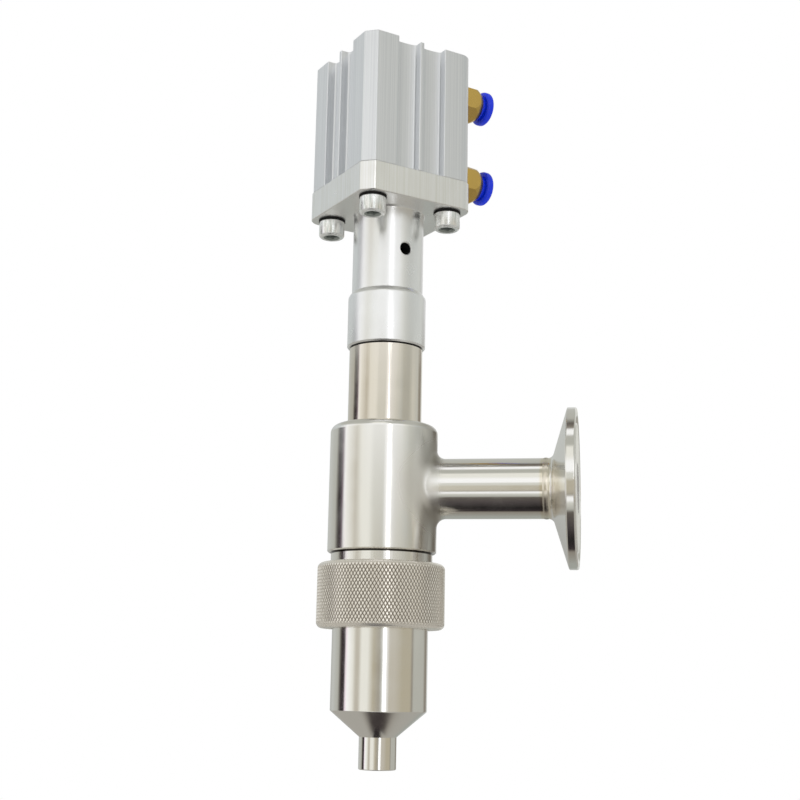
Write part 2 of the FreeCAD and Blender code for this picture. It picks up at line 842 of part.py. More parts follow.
def piston_rod():
    """Rod with two flats and a threaded hole at its foot, and a spigot that carries the piston."""
    shoulder = piston_foot
    spigot_top = piston_top - piston_recess_depth - seat_gap
    shape = rod(rod_diameter, rod_foot, shoulder)
    shape = shape.fuse(rod(rod_spigot_diameter, shoulder, spigot_top))
    shape = shape.cut(rod(stem_thread_diameter + 2 * thread_gap, rod_foot, stem_top + end_gap))
    tip = piston_top - piston_recess_depth - piston_screw_reach - end_gap
    shape = shape.cut(rod(piston_screw_diameter + 2 * thread_gap, tip, spigot_top))
    for side in (-1, 1):
        flat = Part.makeBox(rod_diameter, rod_diameter, rod_flat_length,
                            V(-rod_diameter / 2, 0, rod_foot))
        flat.translate(V(0, rod_flat_width / 2, 0))
        if side < 0:
            flat.rotate(ORIGIN, UP, 180)
        shape = shape.cut(flat)
    return on_cylinder(one_piece(shape))


# Valve stem and plug

def lock_nut():
    """Hexagon nut that locks the stem's thread against the rod."""
    low = stem_shoulder + seat_gap
    shape = hexagon(lock_nut_width, low, low + lock_nut_height)
    hole = rod(stem_thread_diameter + 2 * thread_gap, low, low + lock_nut_height)
    return on_cylinder(shape.cut(hole))


def valve_stem():
    """Long polished stem, threaded at its top and spigoted into the plug at its foot."""
    stem = stem_diameter / 2
    thread = stem_thread_diameter / 2
    spigot = plug_spigot_diameter / 2
    chamfer = stem_thread_chamfer
    return turned([
        (0, plug_top - plug_spigot_depth), (spigot, plug_top - plug_spigot_depth),
        (spigot, plug_top), (stem, plug_top), (stem, stem_shoulder - chamfer),
        (stem - chamfer, stem_shoulder), (thread, stem_shoulder), (thread, stem_top),
        (0, stem_top)])


def stem_plug():
    """Plug that fills the spout down to its lip, with a conical head that meets the inner cone."""
    nose = spout_bore / 2 - 2 * running_gap
    head = plug_head_diameter / 2
    head_foot = seat_height + (head - spout_bore / 2) / cone_slope + 2 * seat_gap
    nose_top = seat_height - (spout_bore / 2 - nose) / cone_slope + 2 * seat_gap
    spigot = plug_spigot_diameter / 2 + thread_gap
    floor = plug_top - plug_spigot_depth - end_gap
    groove = spout_bore / 2 - seal_gap - plug_ring_section - fixed_gap
    half = plug_ring_section / 2 + fixed_gap
    low = plug_ring_height - half
    high = plug_ring_height + half
    top = max(plug_top, head_foot)
    return turned([
        (0, plug_lip_inset), (nose, plug_lip_inset), (nose, low), (groove, low),
        (groove, high), (nose, high), (nose, nose_top), (head, head_foot), (head, top),
        (spigot, top), (spigot, floor), (0, floor)])


def plug_o_ring():
    """Ring that seals the plug in the spout, just above the lip."""
    outer = spout_bore - 2 * seal_gap
    return o_ring(outer - plug_ring_section, plug_ring_section, plug_ring_height)


# Push-in air fittings, built from the port face outwards along +Z

hex_foot = port_seal_thickness
hex_end = hex_foot + hex_length
nose_end = hex_end + fitting_nose_length
flange_face = nose_end + collar_flange_gap
socket_end = hex_foot + fitting_air_hole / 2
socket_mouth = socket_end + air_tube_socket
tube_ring_middle = socket_mouth + tube_ring_section / 2 + fixed_gap
grab_ring_foot = tube_ring_middle + tube_ring_section / 2 + fixed_gap
sleeve_end = grab_ring_foot + grab_ring_thickness + collar_press + end_gap


def fitting_body():
    """Hexagonal fitting with a round nose, a thread into the port and a stepped bore for the tube."""
    corner = hex_width / math.sqrt(3)
    nose = fitting_nose_end / 2
    bulge = fitting_nose_middle / 2
    middle = (hex_end + nose_end) / 2
    shape = hexagon(hex_width, hex_foot, nose_end)
    skin = turned([
        (0, hex_foot), (corner - hex_foot_chamfer, hex_foot), (corner, hex_foot + hex_foot_chamfer),
        (corner, hex_end), (bulge, middle), (nose, nose_end), (0, nose_end)])
    skin = rounded(skin, fitting_nose_dome, bulge, middle)
    skin = rounded(skin, fitting_nose_rounding, nose, nose_end)
    shape = shape.common(skin)
    thread = port_thread_diameter / 2
    shape = shape.fuse(rod(2 * thread, -fitting_thread_length, hex_foot))
    shape = shape.cut(rod(collet_bore, socket_mouth, nose_end))
    shape = shape.cut(rod(air_tube_bore, socket_end, socket_mouth))
    return one_piece(shape.cut(rod(fitting_air_hole, -fitting_thread_length, socket_end)))


def port_seal():
    """Ring between the fitting and the port face."""
    inner = port_thread_diameter + 2 * fixed_gap
    return ring(inner, port_seal_diameter, 0, port_seal_thickness)


def tube_o_ring():
    """Ring that seals on the air tube."""
    middle = collet_bore - 2 * fixed_gap - tube_ring_section
    return o_ring(middle, tube_ring_section, tube_ring_middle)


def grab_ring():
    """Thin steel ring whose teeth grip the air tube."""
    inner = air_tube_bore + 2 * fixed_gap
    outer = collet_bore - 2 * fixed_gap
    shape = ring(inner, outer, grab_ring_foot, grab_ring_foot + grab_ring_thickness)
    for tooth in range(grab_ring_teeth):
        slot = Part.makeBox((inner + outer) / 4, grab_slot_width, grab_ring_thickness,
                            V(0, -grab_slot_width / 2, grab_ring_foot))
        slot.rotate(ORIGIN, UP, 360 / grab_ring_teeth * tooth)
        shape = shape.cut(slot)
    return one_piece(shape)


def release_collar():
    """Collar that frees the tube when it is pushed in: a sleeve and a round-edged flange."""
    outer = collet_bore / 2 - 2 * running_gap
    inner = outer - collar_sleeve_wall
    flange = collar_flange_diameter / 2
    end = flange_face + collar_flange_thickness
    shape = turned([
        (inner, sleeve_end), (outer, sleeve_end), (outer, flange_face), (flange, flange_face),
        (flange, end), (inner, end)])
    shape = rounded(shape, collar_back_rounding, flange, flange_face)
    return rounded(shape, collar_front_rounding, flange, end)


def build():
    """Every piece by its node's name."""
    upper, lower = port_heights()
    pieces = {
        "nozzle_body": nozzle_body(),
        "nozzle_seal": nozzle_seal(),
        "union_nut": union_nut(),
        "valve_body": valve_body(),
        "inlet_pipe": inlet_pipe(),
        "inlet_ferrule": inlet_ferrule(),
        "stem_tube": stem_tube(),
        "stem_guide_bush": stem_guide_bush(),
        "stem_o_rings": stem_o_rings(),
        "bush_o_ring": bush_o_ring(),
        "gland_spacer": gland_spacer(),
        "adapter": adapter(),
        "cap_screws": cap_screws(),
        "screw_washers": screw_washers(),
        "cylinder_barrel": cylinder_barrel(),
        "front_cap": front_cap(),
        "front_cap_ring": at_front(cap_o_ring()),
        "front_circlip": at_front(seated_circlip()),
        "rod_bush": rod_bush(),
        "rod_seal": rod_seal(),
        "rear_cap": rear_cap(),
        "rear_cap_ring": at_rear(cap_o_ring()),
        "rear_circlip": at_rear(seated_circlip()),
        "piston": piston(),
        "piston_seal": piston_seal(),
        "wear_ring": wear_ring(),
        "front_bumper": front_bumper(),
        "rear_bumper": rear_bumper(),
        "piston_screw": piston_screw(),
        "piston_rod": piston_rod(),
        "lock_nut": lock_nut(),
        "valve_stem": valve_stem(),
        "stem_plug": stem_plug(),
        "plug_o_ring": plug_o_ring(),
    }
    for side, height in (("upper", upper), ("lower", lower)):
        pieces[side + "_fitting"] = on_port(fitting_body(), height)
        pieces[side + "_port_seal"] = on_port(port_seal(), height)
        pieces[side + "_tube_ring"] = on_port(tube_o_ring(), height)
        pieces[side + "_grab_ring"] = on_port(grab_ring(), height)
        pieces[side + "_release_collar"] = on_port(release_collar(), height)
    return pieces


os.makedirs("parts", exist_ok=True)
for name, shape in build().items():
    shape.exportStep("parts/" + name + ".step")
    print(name, len(shape.Solids), "solids", round(shape.Volume, 2), "mm3")
print("total height", round(cylinder_top, 2), "stroke", round(stroke, 2))
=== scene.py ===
# %% [markdown]
# # An anti-drip filling nozzle
#
# The real machine part hangs from a filling machine. A small air cylinder at the top lifts a long
# stem, and the stem lifts a plug out of the spout. Product comes in through the side branch.
# The construction is already there, piece by piece and in metres. This lesson gives each surface
# the finish that its maker gave it, and models what is too fine for the construction.

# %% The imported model
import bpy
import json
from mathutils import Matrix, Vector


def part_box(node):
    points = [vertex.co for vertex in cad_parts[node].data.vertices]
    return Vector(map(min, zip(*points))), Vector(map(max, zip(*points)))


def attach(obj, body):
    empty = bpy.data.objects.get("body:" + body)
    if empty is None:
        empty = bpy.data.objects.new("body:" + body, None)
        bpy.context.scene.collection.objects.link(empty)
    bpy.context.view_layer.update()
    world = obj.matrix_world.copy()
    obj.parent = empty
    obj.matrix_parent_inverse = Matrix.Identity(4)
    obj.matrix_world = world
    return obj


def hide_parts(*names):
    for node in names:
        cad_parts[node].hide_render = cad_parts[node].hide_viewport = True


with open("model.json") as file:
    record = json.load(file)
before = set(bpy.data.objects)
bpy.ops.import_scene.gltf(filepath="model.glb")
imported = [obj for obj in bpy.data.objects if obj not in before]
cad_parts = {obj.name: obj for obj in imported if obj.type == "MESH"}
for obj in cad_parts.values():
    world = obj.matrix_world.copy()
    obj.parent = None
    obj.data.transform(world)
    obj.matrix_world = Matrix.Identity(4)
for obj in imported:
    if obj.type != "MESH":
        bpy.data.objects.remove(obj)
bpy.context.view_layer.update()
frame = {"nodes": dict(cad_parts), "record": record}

# %% Tools for the lesson
import json
import math

import bmesh
import bpy
from mathutils import Matrix, Vector

MM = 0.001
nodes = frame["nodes"]
print("construction nodes:", len(nodes))

# %% [markdown]
# ## Colours and nodes
#
# Colours are picked as they look on a screen, so they are written as hex values and turned to the
# linear numbers that light is worked out with. One function adds a shader node: properties are
# given by name, and inputs by name or place, as a value or as another node's socket.

# %% Colours, nodes and materials
def linear(hex_colour):
    """The linear colour, with alpha, of an sRGB hex value."""
    channels = [int(hex_colour[i:i + 2], 16) / 255 for i in (1, 3, 5)]
    return [c / 12.92 if c <= 0.04045 else ((c + 0.055) / 1.055) ** 2.4 for c in channels] + [1.0]


def add(tree, kind, inputs=None, stops=None, **settings):
    """Adds one node with its settings, its colour stops, and its input values or links."""
    node = tree.nodes.new("ShaderNode" + kind)
    for name, value in settings.items():
        setattr(node, name, value)
    for name, value in (inputs or {}).items():
        if isinstance(value, bpy.types.NodeSocket):
            tree.links.new(value, node.inputs[name])
        else:
            node.inputs[name].default_value = value
    if stops:
        elements = node.color_ramp.elements
        while len(elements) < len(stops):
            elements.new(1.0)
        for element, (place, hex_colour) in zip(elements, stops):
            element.position = place
            element.color = linear(hex_colour)
    return node


def new_material(name):
    """A node material with nothing in it yet, and its tree."""
    material = bpy.data.materials.new(name)
    material.use_nodes = True
    material.node_tree.nodes.clear()
    return material, material.node_tree


def shader_of(material):
    """The tree of a finished material and the shader in it."""
    tree = material.node_tree
    return tree, next(node for node in tree.nodes if node.type == "BSDF_PRINCIPLED")


print("a screen's middle grey is", round(linear("#808080")[0], 3), "of the light of white")

# %% [markdown]
# ## Places on a piece
#
# A lathe, a weld and a grinding wheel each leave their mark at a place that can be measured. So the
# finishes are laid out in millimetres, from the piece's own coordinates: how far a point is from
# the axis that it was turned round, or from a height along it.

# %% Distances from an axis or a level
def offset(tree, centre=(0, 0, 0)):
    """Object coordinates counted from a point."""
    place = add(tree, "TexCoord").outputs["Object"]
    return add(tree, "VectorMath", {0: place, 1: centre}, operation="SUBTRACT").outputs[0]


def from_axis(tree, axis, centre=(0, 0, 0)):
    """Distance from an axis, in metres."""
    across = add(tree, "VectorMath", {0: offset(tree, centre), 1: [1 - a for a in axis]},
                 operation="MULTIPLY").outputs[0]
    return add(tree, "VectorMath", {0: across}, operation="LENGTH").outputs["Value"]


def from_level(tree, level):
    """Distance above or below a level, in metres."""
    height = add(tree, "SeparateXYZ", {0: offset(tree, (0, 0, level))}).outputs["Z"]
    return add(tree, "Math", {0: height}, operation="ABSOLUTE").outputs[0]


def stretched(tree, pitch):
    """Object coordinates in steps of a real size, in millimetres, along x, y and z."""
    place = add(tree, "TexCoord").outputs["Object"]
    scale = [1 / (step * MM) for step in pitch]
    return add(tree, "Mapping", {"Vector": place, "Scale": scale}).outputs[0]


UPRIGHT, SIDEWAYS = (0, 0, 1), (1, 0, 0)
print("the main axis is", UPRIGHT, "and the branch's is", SIDEWAYS)

# %% [markdown]
# ## Masks
#
# A mask is a number from 0 to 1 that says how much of a finish is there. A soft ramp over a short
# length draws its edge, because hardly any finish stops at a line. Where several masks have to hold
# at once, they are multiplied.

# %% Soft masks
def ramp(tree, value, low, high, begin=0, end=1, unit=MM):
    """A soft change from begin to end while a value goes from low to high, in millimetres."""
    return add(tree, "MapRange", {"Value": value, "From Min": low * unit, "From Max": high * unit,
                                  "To Min": begin, "To Max": end},
               interpolation_type="SMOOTHSTEP").outputs["Result"]


def overlap(tree, mask, *others):
    """Where several masks hold at once."""
    for other in others:
        mask = add(tree, "Math", {0: mask, 1: other}, operation="MULTIPLY").outputs[0]
    return mask


print("masks are drawn by:", ramp.__name__, "and", overlap.__name__)

# %% [markdown]
# ## Where the branch lies
#
# The branch is finished round its own axis. The height of that axis and the place of the ferrule's
# weld are read from the construction, so the finish follows it.

# %% The branch's axis and weld
pipe_low, pipe_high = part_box("inlet_pipe")
branch_middle = (0, 0, (pipe_low.z + pipe_high.z) / 2)
FERRULE_WELD = pipe_high.x / MM
print("the branch lies", round(branch_middle[2] / MM, 1), "mm above the spout's lip")
print("the ferrule is welded on", round(FERRULE_WELD, 1), "mm from the main axis")

# %% [markdown]
# ## Turned metal
#
# The nozzle, the valve body and the stem tube are stainless steel, turned on a lathe and then
# polished while they turned. The tool leaves rings round the axis that are finer than a hair. The
# eye doesn't see them one by one: it sees the room's reflections smeared along the axis and crisp
# across it. Anisotropic gloss does that: its tangent runs round the axis, and a quarter turn lays
# the smear across the rings. Soft clouds in the roughness keep the polish from looking perfect.
# Inside a bore no polishing belt reaches, so the metal is dull there. Its colour there is painted
# and
# less metallic: painted shade in a dark bore, painted light in a pale one.
#
# Beside a weld the steel got so hot that the air coloured it, in a band of pale straw a few
# millimetres wide. It comes first, because the finish uses it.

# %% Heat beside a weld
HEAT_REACH = 5


def heat_tint(tree, axis, weld, hex_colour):
    """The straw colour that heat leaves beside a weld, at a place along the axis."""
    along = add(tree, "VectorMath", {0: offset(tree, [weld * MM * a for a in axis]), 1: axis},
                operation="DOT_PRODUCT").outputs["Value"]
    gap = add(tree, "Math", {0: along}, operation="ABSOLUTE").outputs[0]
    stops = [(0.0, "#F4EFE2"), (0.12, "#EFE8D8"), (0.22, "#F4F0E6"), (0.34, hex_colour)]
    fade = ramp(tree, gap, 0, HEAT_REACH)
    return add(tree, "ValToRGB", {"Fac": fade}, stops=stops).outputs["Color"]


print("heat colours reach", HEAT_REACH, "mm from a weld")

# %% A finish for turned metal
RING_PITCH, RING_LENGTH = 0.25, 40.0
CLOUD_SIZE = 6.0


# In a bore the colour is painted: a dark bore colour is painted shade, a pale one painted light.
def turned_metal(name, hex_colour, roughness, anisotropy, axis, centre=(0, 0, 0), ring_depth=0.0006,
                 cloud=0.03, bore=0, painted_bore_tone="#141414", bore_roughness=0.6, weld=None):
    """Metal turned round an axis, with painted light and shade in its matt bore, tinted where
    welded.
    """
    material, tree = new_material(name)
    pitch = [RING_PITCH if a else RING_LENGTH for a in axis]
    rings = add(tree, "TexNoise", {"Vector": stretched(tree, pitch), "Scale": 1.0, "Detail": 3.0})
    clouds = add(tree, "TexNoise", {"Vector": stretched(tree, (CLOUD_SIZE,) * 3), "Scale": 1.0,
                                    "Detail": 2.0})
    # Noise keeps mostly between 0.3 and 0.7, so these are taken as its ends.
    rough = add(tree, "MapRange", {
        "Value": clouds.outputs["Fac"], "From Min": 0.3, "From Max": 0.7,
        "To Min": roughness - cloud, "To Max": roughness + cloud}).outputs[0]
    colour, metallic = linear(hex_colour), 1.0
    if weld is not None:
        colour = heat_tint(tree, axis, weld, hex_colour)
    # In the bore the colour is painted and the metal less metallic: painted shade or painted light.
    if bore:
        inside = ramp(tree, from_axis(tree, axis, centre), bore - 0.2, bore + 0.2, 1, 0)
        colour = add(tree, "MixRGB", {"Fac": inside, "Color1": colour,
                                      "Color2": linear(painted_bore_tone)}).outputs["Color"]
        rough = add(tree, "MapRange", {"Value": inside, "To Min": rough,
                                       "To Max": bore_roughness}).outputs[0]
        metallic = add(tree, "MapRange", {"Value": inside, "To Min": 1.0,
                                          "To Max": 0.2}).outputs[0]
    bump = add(tree, "Bump", {"Strength": 1.0, "Distance": ring_depth * MM,
                              "Height": rings.outputs["Fac"]})
    round_axis = add(tree, "VectorMath", {0: axis, 1: offset(tree, centre)},
                     operation="CROSS_PRODUCT")
    shader = add(tree, "BsdfPrincipled", {
        "Base Color": colour, "Metallic": metallic, "Anisotropic": anisotropy,
        "Anisotropic Rotation": 0.25, "Roughness": rough,
        "Normal": bump.outputs["Normal"], "Tangent": round_axis.outputs[0]})
    add(tree, "OutputMaterial", {"Surface": shader.outputs[0]})
    return material


print("tool rings every", RING_PITCH, "mm, clouds of", CLOUD_SIZE, "mm")

# %% [markdown]
# ## Steel, aluminium and brass from the lathe
#
# One function makes them all. What differs is the metal's own colour, how far the polishing went,
# which lowers the roughness, and how strictly its marks run round, which is the anisotropy.

# %% Every turned metal
# Polished stainless steel: a faintly warm white that mirrors the room's bands.
STAINLESS = "#F6F5F2"
turned_stainless = turned_metal("turned_stainless_steel", STAINLESS, 0.12, 0.75, UPRIGHT)

# Drawn tube: as bright, and a little more yellow beside the body.
tube_stainless = turned_metal("drawn_stainless_tube", "#EEE8DE", 0.12, 0.75, UPRIGHT)

# The branch was turned round its own axis, so its smear lies along the pipe. Its bore is painted
# pale, as painted light.
branch_stainless = turned_metal("turned_stainless_steel_branch", STAINLESS, 0.14, 0.75, SIDEWAYS,
                                centre=branch_middle, bore=8.1, painted_bore_tone="#D8D6D2",
                                bore_roughness=0.5, weld=FERRULE_WELD)

# Aluminium: whiter and softer than steel, with wide reflections. The vent hole is painted black
# inside, as painted shade.
turned_aluminium = turned_metal("turned_aluminium", "#FCFDFE", 0.3, 0.3, UPRIGHT,
                                ring_depth=0.0003, bore=11.2)

# The cylinder's caps: a greyer alloy, as it came from the tool, so they look darker and duller.
cap_aluminium = turned_metal("turned_cap_aluminium", "#C9CAC8", 0.3, 0.5, UPRIGHT)

# Brass bar: yellow, cut and never polished, with a cloudy shine.
brass = turned_metal("turned_brass", "#DDBA68", 0.28, 0.2, UPRIGHT, ring_depth=0.0015, cloud=0.1)
print("turned finishes: steel, tube, branch, aluminium, cap and brass")

# %% [markdown]
# ## The milled plate
#
# Plate, sleeve and collar of the adapter are one bar of aluminium. The sleeve is turned, but the
# plate is square, so its sides are milled. The side of the cutter wipes down them and leaves faint
# upright lines, which the eye reads as a different surface although the metal is the same.

# %% Cutter lines on the plate
PLATE_FOOT = 177.7


def milled_plate(material):
    """Adds faint upright lines above the foot of the plate."""
    tree, shader = shader_of(material)
    lines = add(tree, "TexNoise", {"Vector": stretched(tree, (0.6, 0.6, 60)), "Scale": 1.0,
                                   "Detail": 3.0}).outputs["Fac"]
    tone = add(tree, "ValToRGB", {"Fac": lines}, stops=[(0.36, "#F5F5F1"), (0.62, "#FFFFFF")])
    height = add(tree, "SeparateXYZ", {0: offset(tree)}).outputs["Z"]
    milled = ramp(tree, height, PLATE_FOOT - 0.2, PLATE_FOOT + 0.1)
    turned = shader.inputs["Base Color"].links[0].from_socket
    colour = add(tree, "MixRGB", {"Fac": milled, "Color1": turned,
                                  "Color2": tone.outputs["Color"]})
    tree.links.new(colour.outputs["Color"], shader.inputs["Base Color"])


milled_plate(turned_aluminium)
print("milled above", PLATE_FOOT, "mm")

# %% [markdown]
# ## Zinc on the screws
#
# The screws are plated with bright zinc. It is whiter than steel and partly milky, so the heads
# stay pale where steel would mirror something dark, and faint streaks run along them. The sockets
# are painted darker, as painted shade in the recess. They are found by their distance from the
# four screw axes. The whole cylinder is turned against the branch, so the axes are counted in its
# own turned square.

# %% Bright zinc
CYLINDER_ANGLE = math.radians(40.2)
SCREW_OFFSET = 14.0
SOCKET_RIM = (2.6, 2.85)


def screw_zinc():
    """Bright streaky zinc plating, with painted shade in the socket."""
    material, tree = new_material("zinc_plated_steel")
    streaks = add(tree, "TexNoise", {"Vector": stretched(tree, (0.7, 0.7, 7)), "Scale": 1.0,
                                     "Detail": 3.0}).outputs["Fac"]
    tone = add(tree, "ValToRGB", {"Fac": streaks}, stops=[
        (0.34, "#DDE3E0"), (0.46, "#F2F5F4"), (0.56, "#FFFFFF"), (0.68, "#E8ECEA")])
    place = add(tree, "VectorRotate", {"Vector": offset(tree), "Angle": -CYLINDER_ANGLE},
                rotation_type="Z_AXIS").outputs[0]
    place = add(tree, "VectorMath", {0: place}, operation="ABSOLUTE").outputs[0]
    place = add(tree, "VectorMath", {0: place, 1: (SCREW_OFFSET * MM, SCREW_OFFSET * MM, 0)},
                operation="SUBTRACT").outputs[0]
    place = add(tree, "VectorMath", {0: place, 1: (1, 1, 0)}, operation="MULTIPLY").outputs[0]
    reach = add(tree, "VectorMath", {0: place}, operation="LENGTH").outputs["Value"]
    # The socket is painted darker: painted shade in its recess.
    socket = ramp(tree, reach, *SOCKET_RIM, 1, 0)
    colour = add(tree, "MixRGB", {"Fac": socket, "Color1": tone.outputs["Color"],
                                  "Color2": linear("#A4AAA6")})
    rough = add(tree, "MapRange", {"Value": socket, "To Min": 0.27, "To Max": 0.55})
    grain = add(tree, "TexNoise", {"Vector": stretched(tree, (0.5, 0.5, 0.9)), "Scale": 1.0})
    bump = add(tree, "Bump", {"Strength": 1.0, "Distance": 0.008 * MM,
                              "Height": grain.outputs["Fac"]})
    shader = add(tree, "BsdfPrincipled", {
        "Base Color": colour.outputs["Color"], "Metallic": 0.8, "Roughness": rough.outputs[0],
        "Normal": bump.outputs["Normal"]})
    add(tree, "OutputMaterial", {"Surface": shader.outputs[0]})
    return material


zinc = screw_zinc()
print("screw axes:", SCREW_OFFSET, "mm to each side, turned by",
      round(math.degrees(CYLINDER_ANGLE), 1), "degrees")

# %% [markdown]
# ## The tee's own finish
#
# The branch was welded to the body, and the joint was then ground and blended by hand with a flap
# wheel. There the turned rings are gone: the metal is satin, and the pipe's sharp reflections melt
# into the body's. The roughness rises with nearness to the branch's axis, on the side that carries
# it. Above and below the branch the ground metal is painted greyer, as painted shade.

# %% Satin round the root of the branch
# Where each mask begins and ends: from the branch's axis, along the branch, and above or below it.
ROOT_REACH = (12, 19)
ROOT_ALONG, PIPE_ALONG = (3, 9), (17, 21)
TANGENT_ALONG, PAINTED_SHADE_ALONG = (14, 18), (11, 18)
PAINTED_SHADE_ABOVE = (3, 8)


def tee_stainless():
    """Turned stainless steel that turns satin round the root of the branch, with painted shade
    above and below it.
    """
    material = turned_metal("blended_stainless_tee", STAINLESS, 0.16, 0.7, UPRIGHT)
    tree, shader = shader_of(material)
    side = add(tree, "SeparateXYZ", {0: offset(tree)}).outputs["X"]
    near = ramp(tree, from_axis(tree, SIDEWAYS, branch_middle), *ROOT_REACH, 1, 0)
    before_pipe = ramp(tree, side, *PIPE_ALONG, 1, 0)

    root = overlap(tree, near, ramp(tree, side, *ROOT_ALONG), before_pipe)
    turned_rough = shader.inputs["Roughness"].links[0].from_socket
    rough = add(tree, "MapRange", {"Value": root, "To Min": turned_rough, "To Max": 0.42})
    tree.links.new(rough.outputs[0], shader.inputs["Roughness"])

    round_pipe = add(tree, "VectorMath", {0: SIDEWAYS, 1: offset(tree, branch_middle)},
                     operation="CROSS_PRODUCT").outputs[0]
    round_body = shader.inputs["Tangent"].links[0].from_socket
    tangent = add(tree, "Mix", {0: ramp(tree, side, *TANGENT_ALONG), 4: round_body,
                                5: round_pipe}, data_type="VECTOR").outputs[1]
    tree.links.new(tangent, shader.inputs["Tangent"])

    # Above and below the branch the colour is painted greyer: painted shade.
    above_or_below = ramp(tree, from_level(tree, branch_middle[2]), *PAINTED_SHADE_ABOVE)
    painted_shade = overlap(tree, ramp(tree, side, *PAINTED_SHADE_ALONG), above_or_below, before_pipe)
    colour = add(tree, "MixRGB", {"Fac": painted_shade, "Color1": linear(STAINLESS),
                                  "Color2": linear("#A8A49C")})
    tree.links.new(colour.outputs["Color"], shader.inputs["Base Color"])
    return material


blended_tee = tee_stainless()
print("the tee's finish:", blended_tee.name)

# %% [markdown]
# ## Painted shade in the grooves
#
# Where a turned shoulder meets the next piece, the lathe tool leaves a narrow relief groove. No
# light gets into it and no polishing belt either, so it draws a fine dark line round the piece. One
# runs under the foot of the body and one under the collar. They are cut further on, and this paints
# shade on the metal in them.

# %% Dark relief grooves
NECK_RADIUS, BODY_FOOT = 16.45, 65.9
TUBE_RADIUS, COLLAR_FOOT = 11.85, 132.2
RELIEF_HEIGHT = 0.5
UNDER_COLLAR = 0.2
# The painted shade fades out over the first height, and between the two depths in the groove's
# wall.
GROOVE_SHADE_EDGE, GROOVE_SHADE_DEPTHS = 0.15, (0.3, 0.05)


def paint_groove_shade(material, top, height, radius):
    """Paints shade into a relief groove, which gets neither light nor polish."""
    tree, shader = shader_of(material)
    middle = from_level(tree, (top - height / 2) * MM)
    low = ramp(tree, middle, height / 2, height / 2 + GROOVE_SHADE_EDGE, 1, 0)
    walls_in = [radius - depth for depth in GROOVE_SHADE_DEPTHS]
    deep = ramp(tree, from_axis(tree, UPRIGHT), *walls_in, 1, 0)
    base = shader.inputs["Base Color"]
    before = base.links[0].from_socket if base.is_linked else list(base.default_value)
    # The groove's metal is painted dark: painted shade.
    colour = add(tree, "MixRGB", {"Fac": overlap(tree, low, deep), "Color1": before,
                                  "Color2": linear("#3C3834")})
    tree.links.new(colour.outputs["Color"], base)


paint_groove_shade(blended_tee, BODY_FOOT, RELIEF_HEIGHT, NECK_RADIUS)
paint_groove_shade(tube_stainless, COLLAR_FOOT + UNDER_COLLAR, RELIEF_HEIGHT + UNDER_COLLAR, TUBE_RADIUS)
print("grooves below", BODY_FOOT, "and", COLLAR_FOOT, "mm")

# %% [markdown]
# ## Anodised aluminium
#
# The barrel of the air cylinder is extruded and then anodised in its natural colour. Pressing the
# metal through the die draws faint lines along it, and the etching bath before the anodising turns
# the metal satin, so that it shows the room's light but none of its edges.

# %% Anodised aluminium
def anodised_aluminium():
    """Satin anodised extrusion with faint lines along it."""
    material, tree = new_material("anodised_aluminium")
    lines = add(tree, "TexNoise", {"Vector": stretched(tree, (0.35, 0.35, 90)), "Scale": 1.0,
                                   "Detail": 4.0}).outputs["Fac"]
    grain = add(tree, "TexNoise", {"Vector": stretched(tree, (0.12, 0.12, 0.12)), "Scale": 1.0})
    height = add(tree, "Math", {0: lines, 1: grain.outputs["Fac"]}, operation="ADD")
    bump = add(tree, "Bump", {"Strength": 1.0, "Distance": 0.001 * MM,
                              "Height": height.outputs[0]})
    tone = add(tree, "ValToRGB", {"Fac": lines}, stops=[(0.36, "#DFE1E4"), (0.64, "#E9EBED")])
    shader = add(tree, "BsdfPrincipled", {
        "Base Color": tone.outputs["Color"], "Metallic": 0.85, "Roughness": 0.33,
        "Normal": bump.outputs["Normal"]})
    add(tree, "OutputMaterial", {"Surface": shader.outputs[0]})
    return material


anodised = anodised_aluminium()
print("the barrel's finish:", anodised.name)

# %% [markdown]
# ## Small parts
#
# Washers, rings, seals and the blue release collars are small, so one finish with a fine grain
# serves them all. What tells them apart is the colour, how metallic they are and how dull.

# %% Small parts
def plain(name, hex_colour, metallic, roughness, grain=0.3, depth=0.002):
    """A surface with a fine grain, its size and depth in millimetres."""
    material, tree = new_material(name)
    noise = add(tree, "TexNoise", {"Vector": stretched(tree, (grain,) * 3), "Scale": 1.0,
                                   "Detail": 2.0})
    bump = add(tree, "Bump", {"Strength": 1.0, "Distance": depth * MM,
                              "Height": noise.outputs["Fac"]})
    shader = add(tree, "BsdfPrincipled", {
        "Base Color": linear(hex_colour), "Metallic": metallic, "Roughness": roughness,
        "Normal": bump.outputs["Normal"]})
    add(tree, "OutputMaterial", {"Surface": shader.outputs[0]})
    return material


small_parts = {
    # Near black and dull: a thin dark line between the screw heads and the plate.
    "black_washer": plain("near_black_steel", "#1A1A1B", 0.6, 0.5),
    # Phosphated spring steel: dark grey and dull.
    "spring_steel": plain("phosphated_spring_steel", "#4A4A48", 0.9, 0.5),
    # Sintered bronze: brown and matt, since it is pressed from powder.
    "bronze": plain("sintered_bronze", "#A0784A", 1.0, 0.5),
    # Moulded acetal: a deep blue with a soft gloss.
    "blue_plastic": plain("blue_acetal", "#0030E4", 0.0, 0.26, depth=0.001),
    # Turned PTFE: waxy white.
    "white_ptfe": plain("machined_ptfe", "#ECEAE4", 0.0, 0.5),
    # Moulded silicone and nitrile rubber: matt, one pale and one black.
    "seal_rubber": plain("silicone_rubber", "#B9B6AE", 0.0, 0.55),
    "black_rubber": plain("nitrile_rubber", "#1C1C1D", 0.0, 0.6),
}
print("small finishes:", len(small_parts))

# %% [markdown]
# ## Every piece gets its finish
#
# Each piece of the construction names a slot for its material. The branch's two pieces leave the
# common steel for the one that is turned round their own axis.

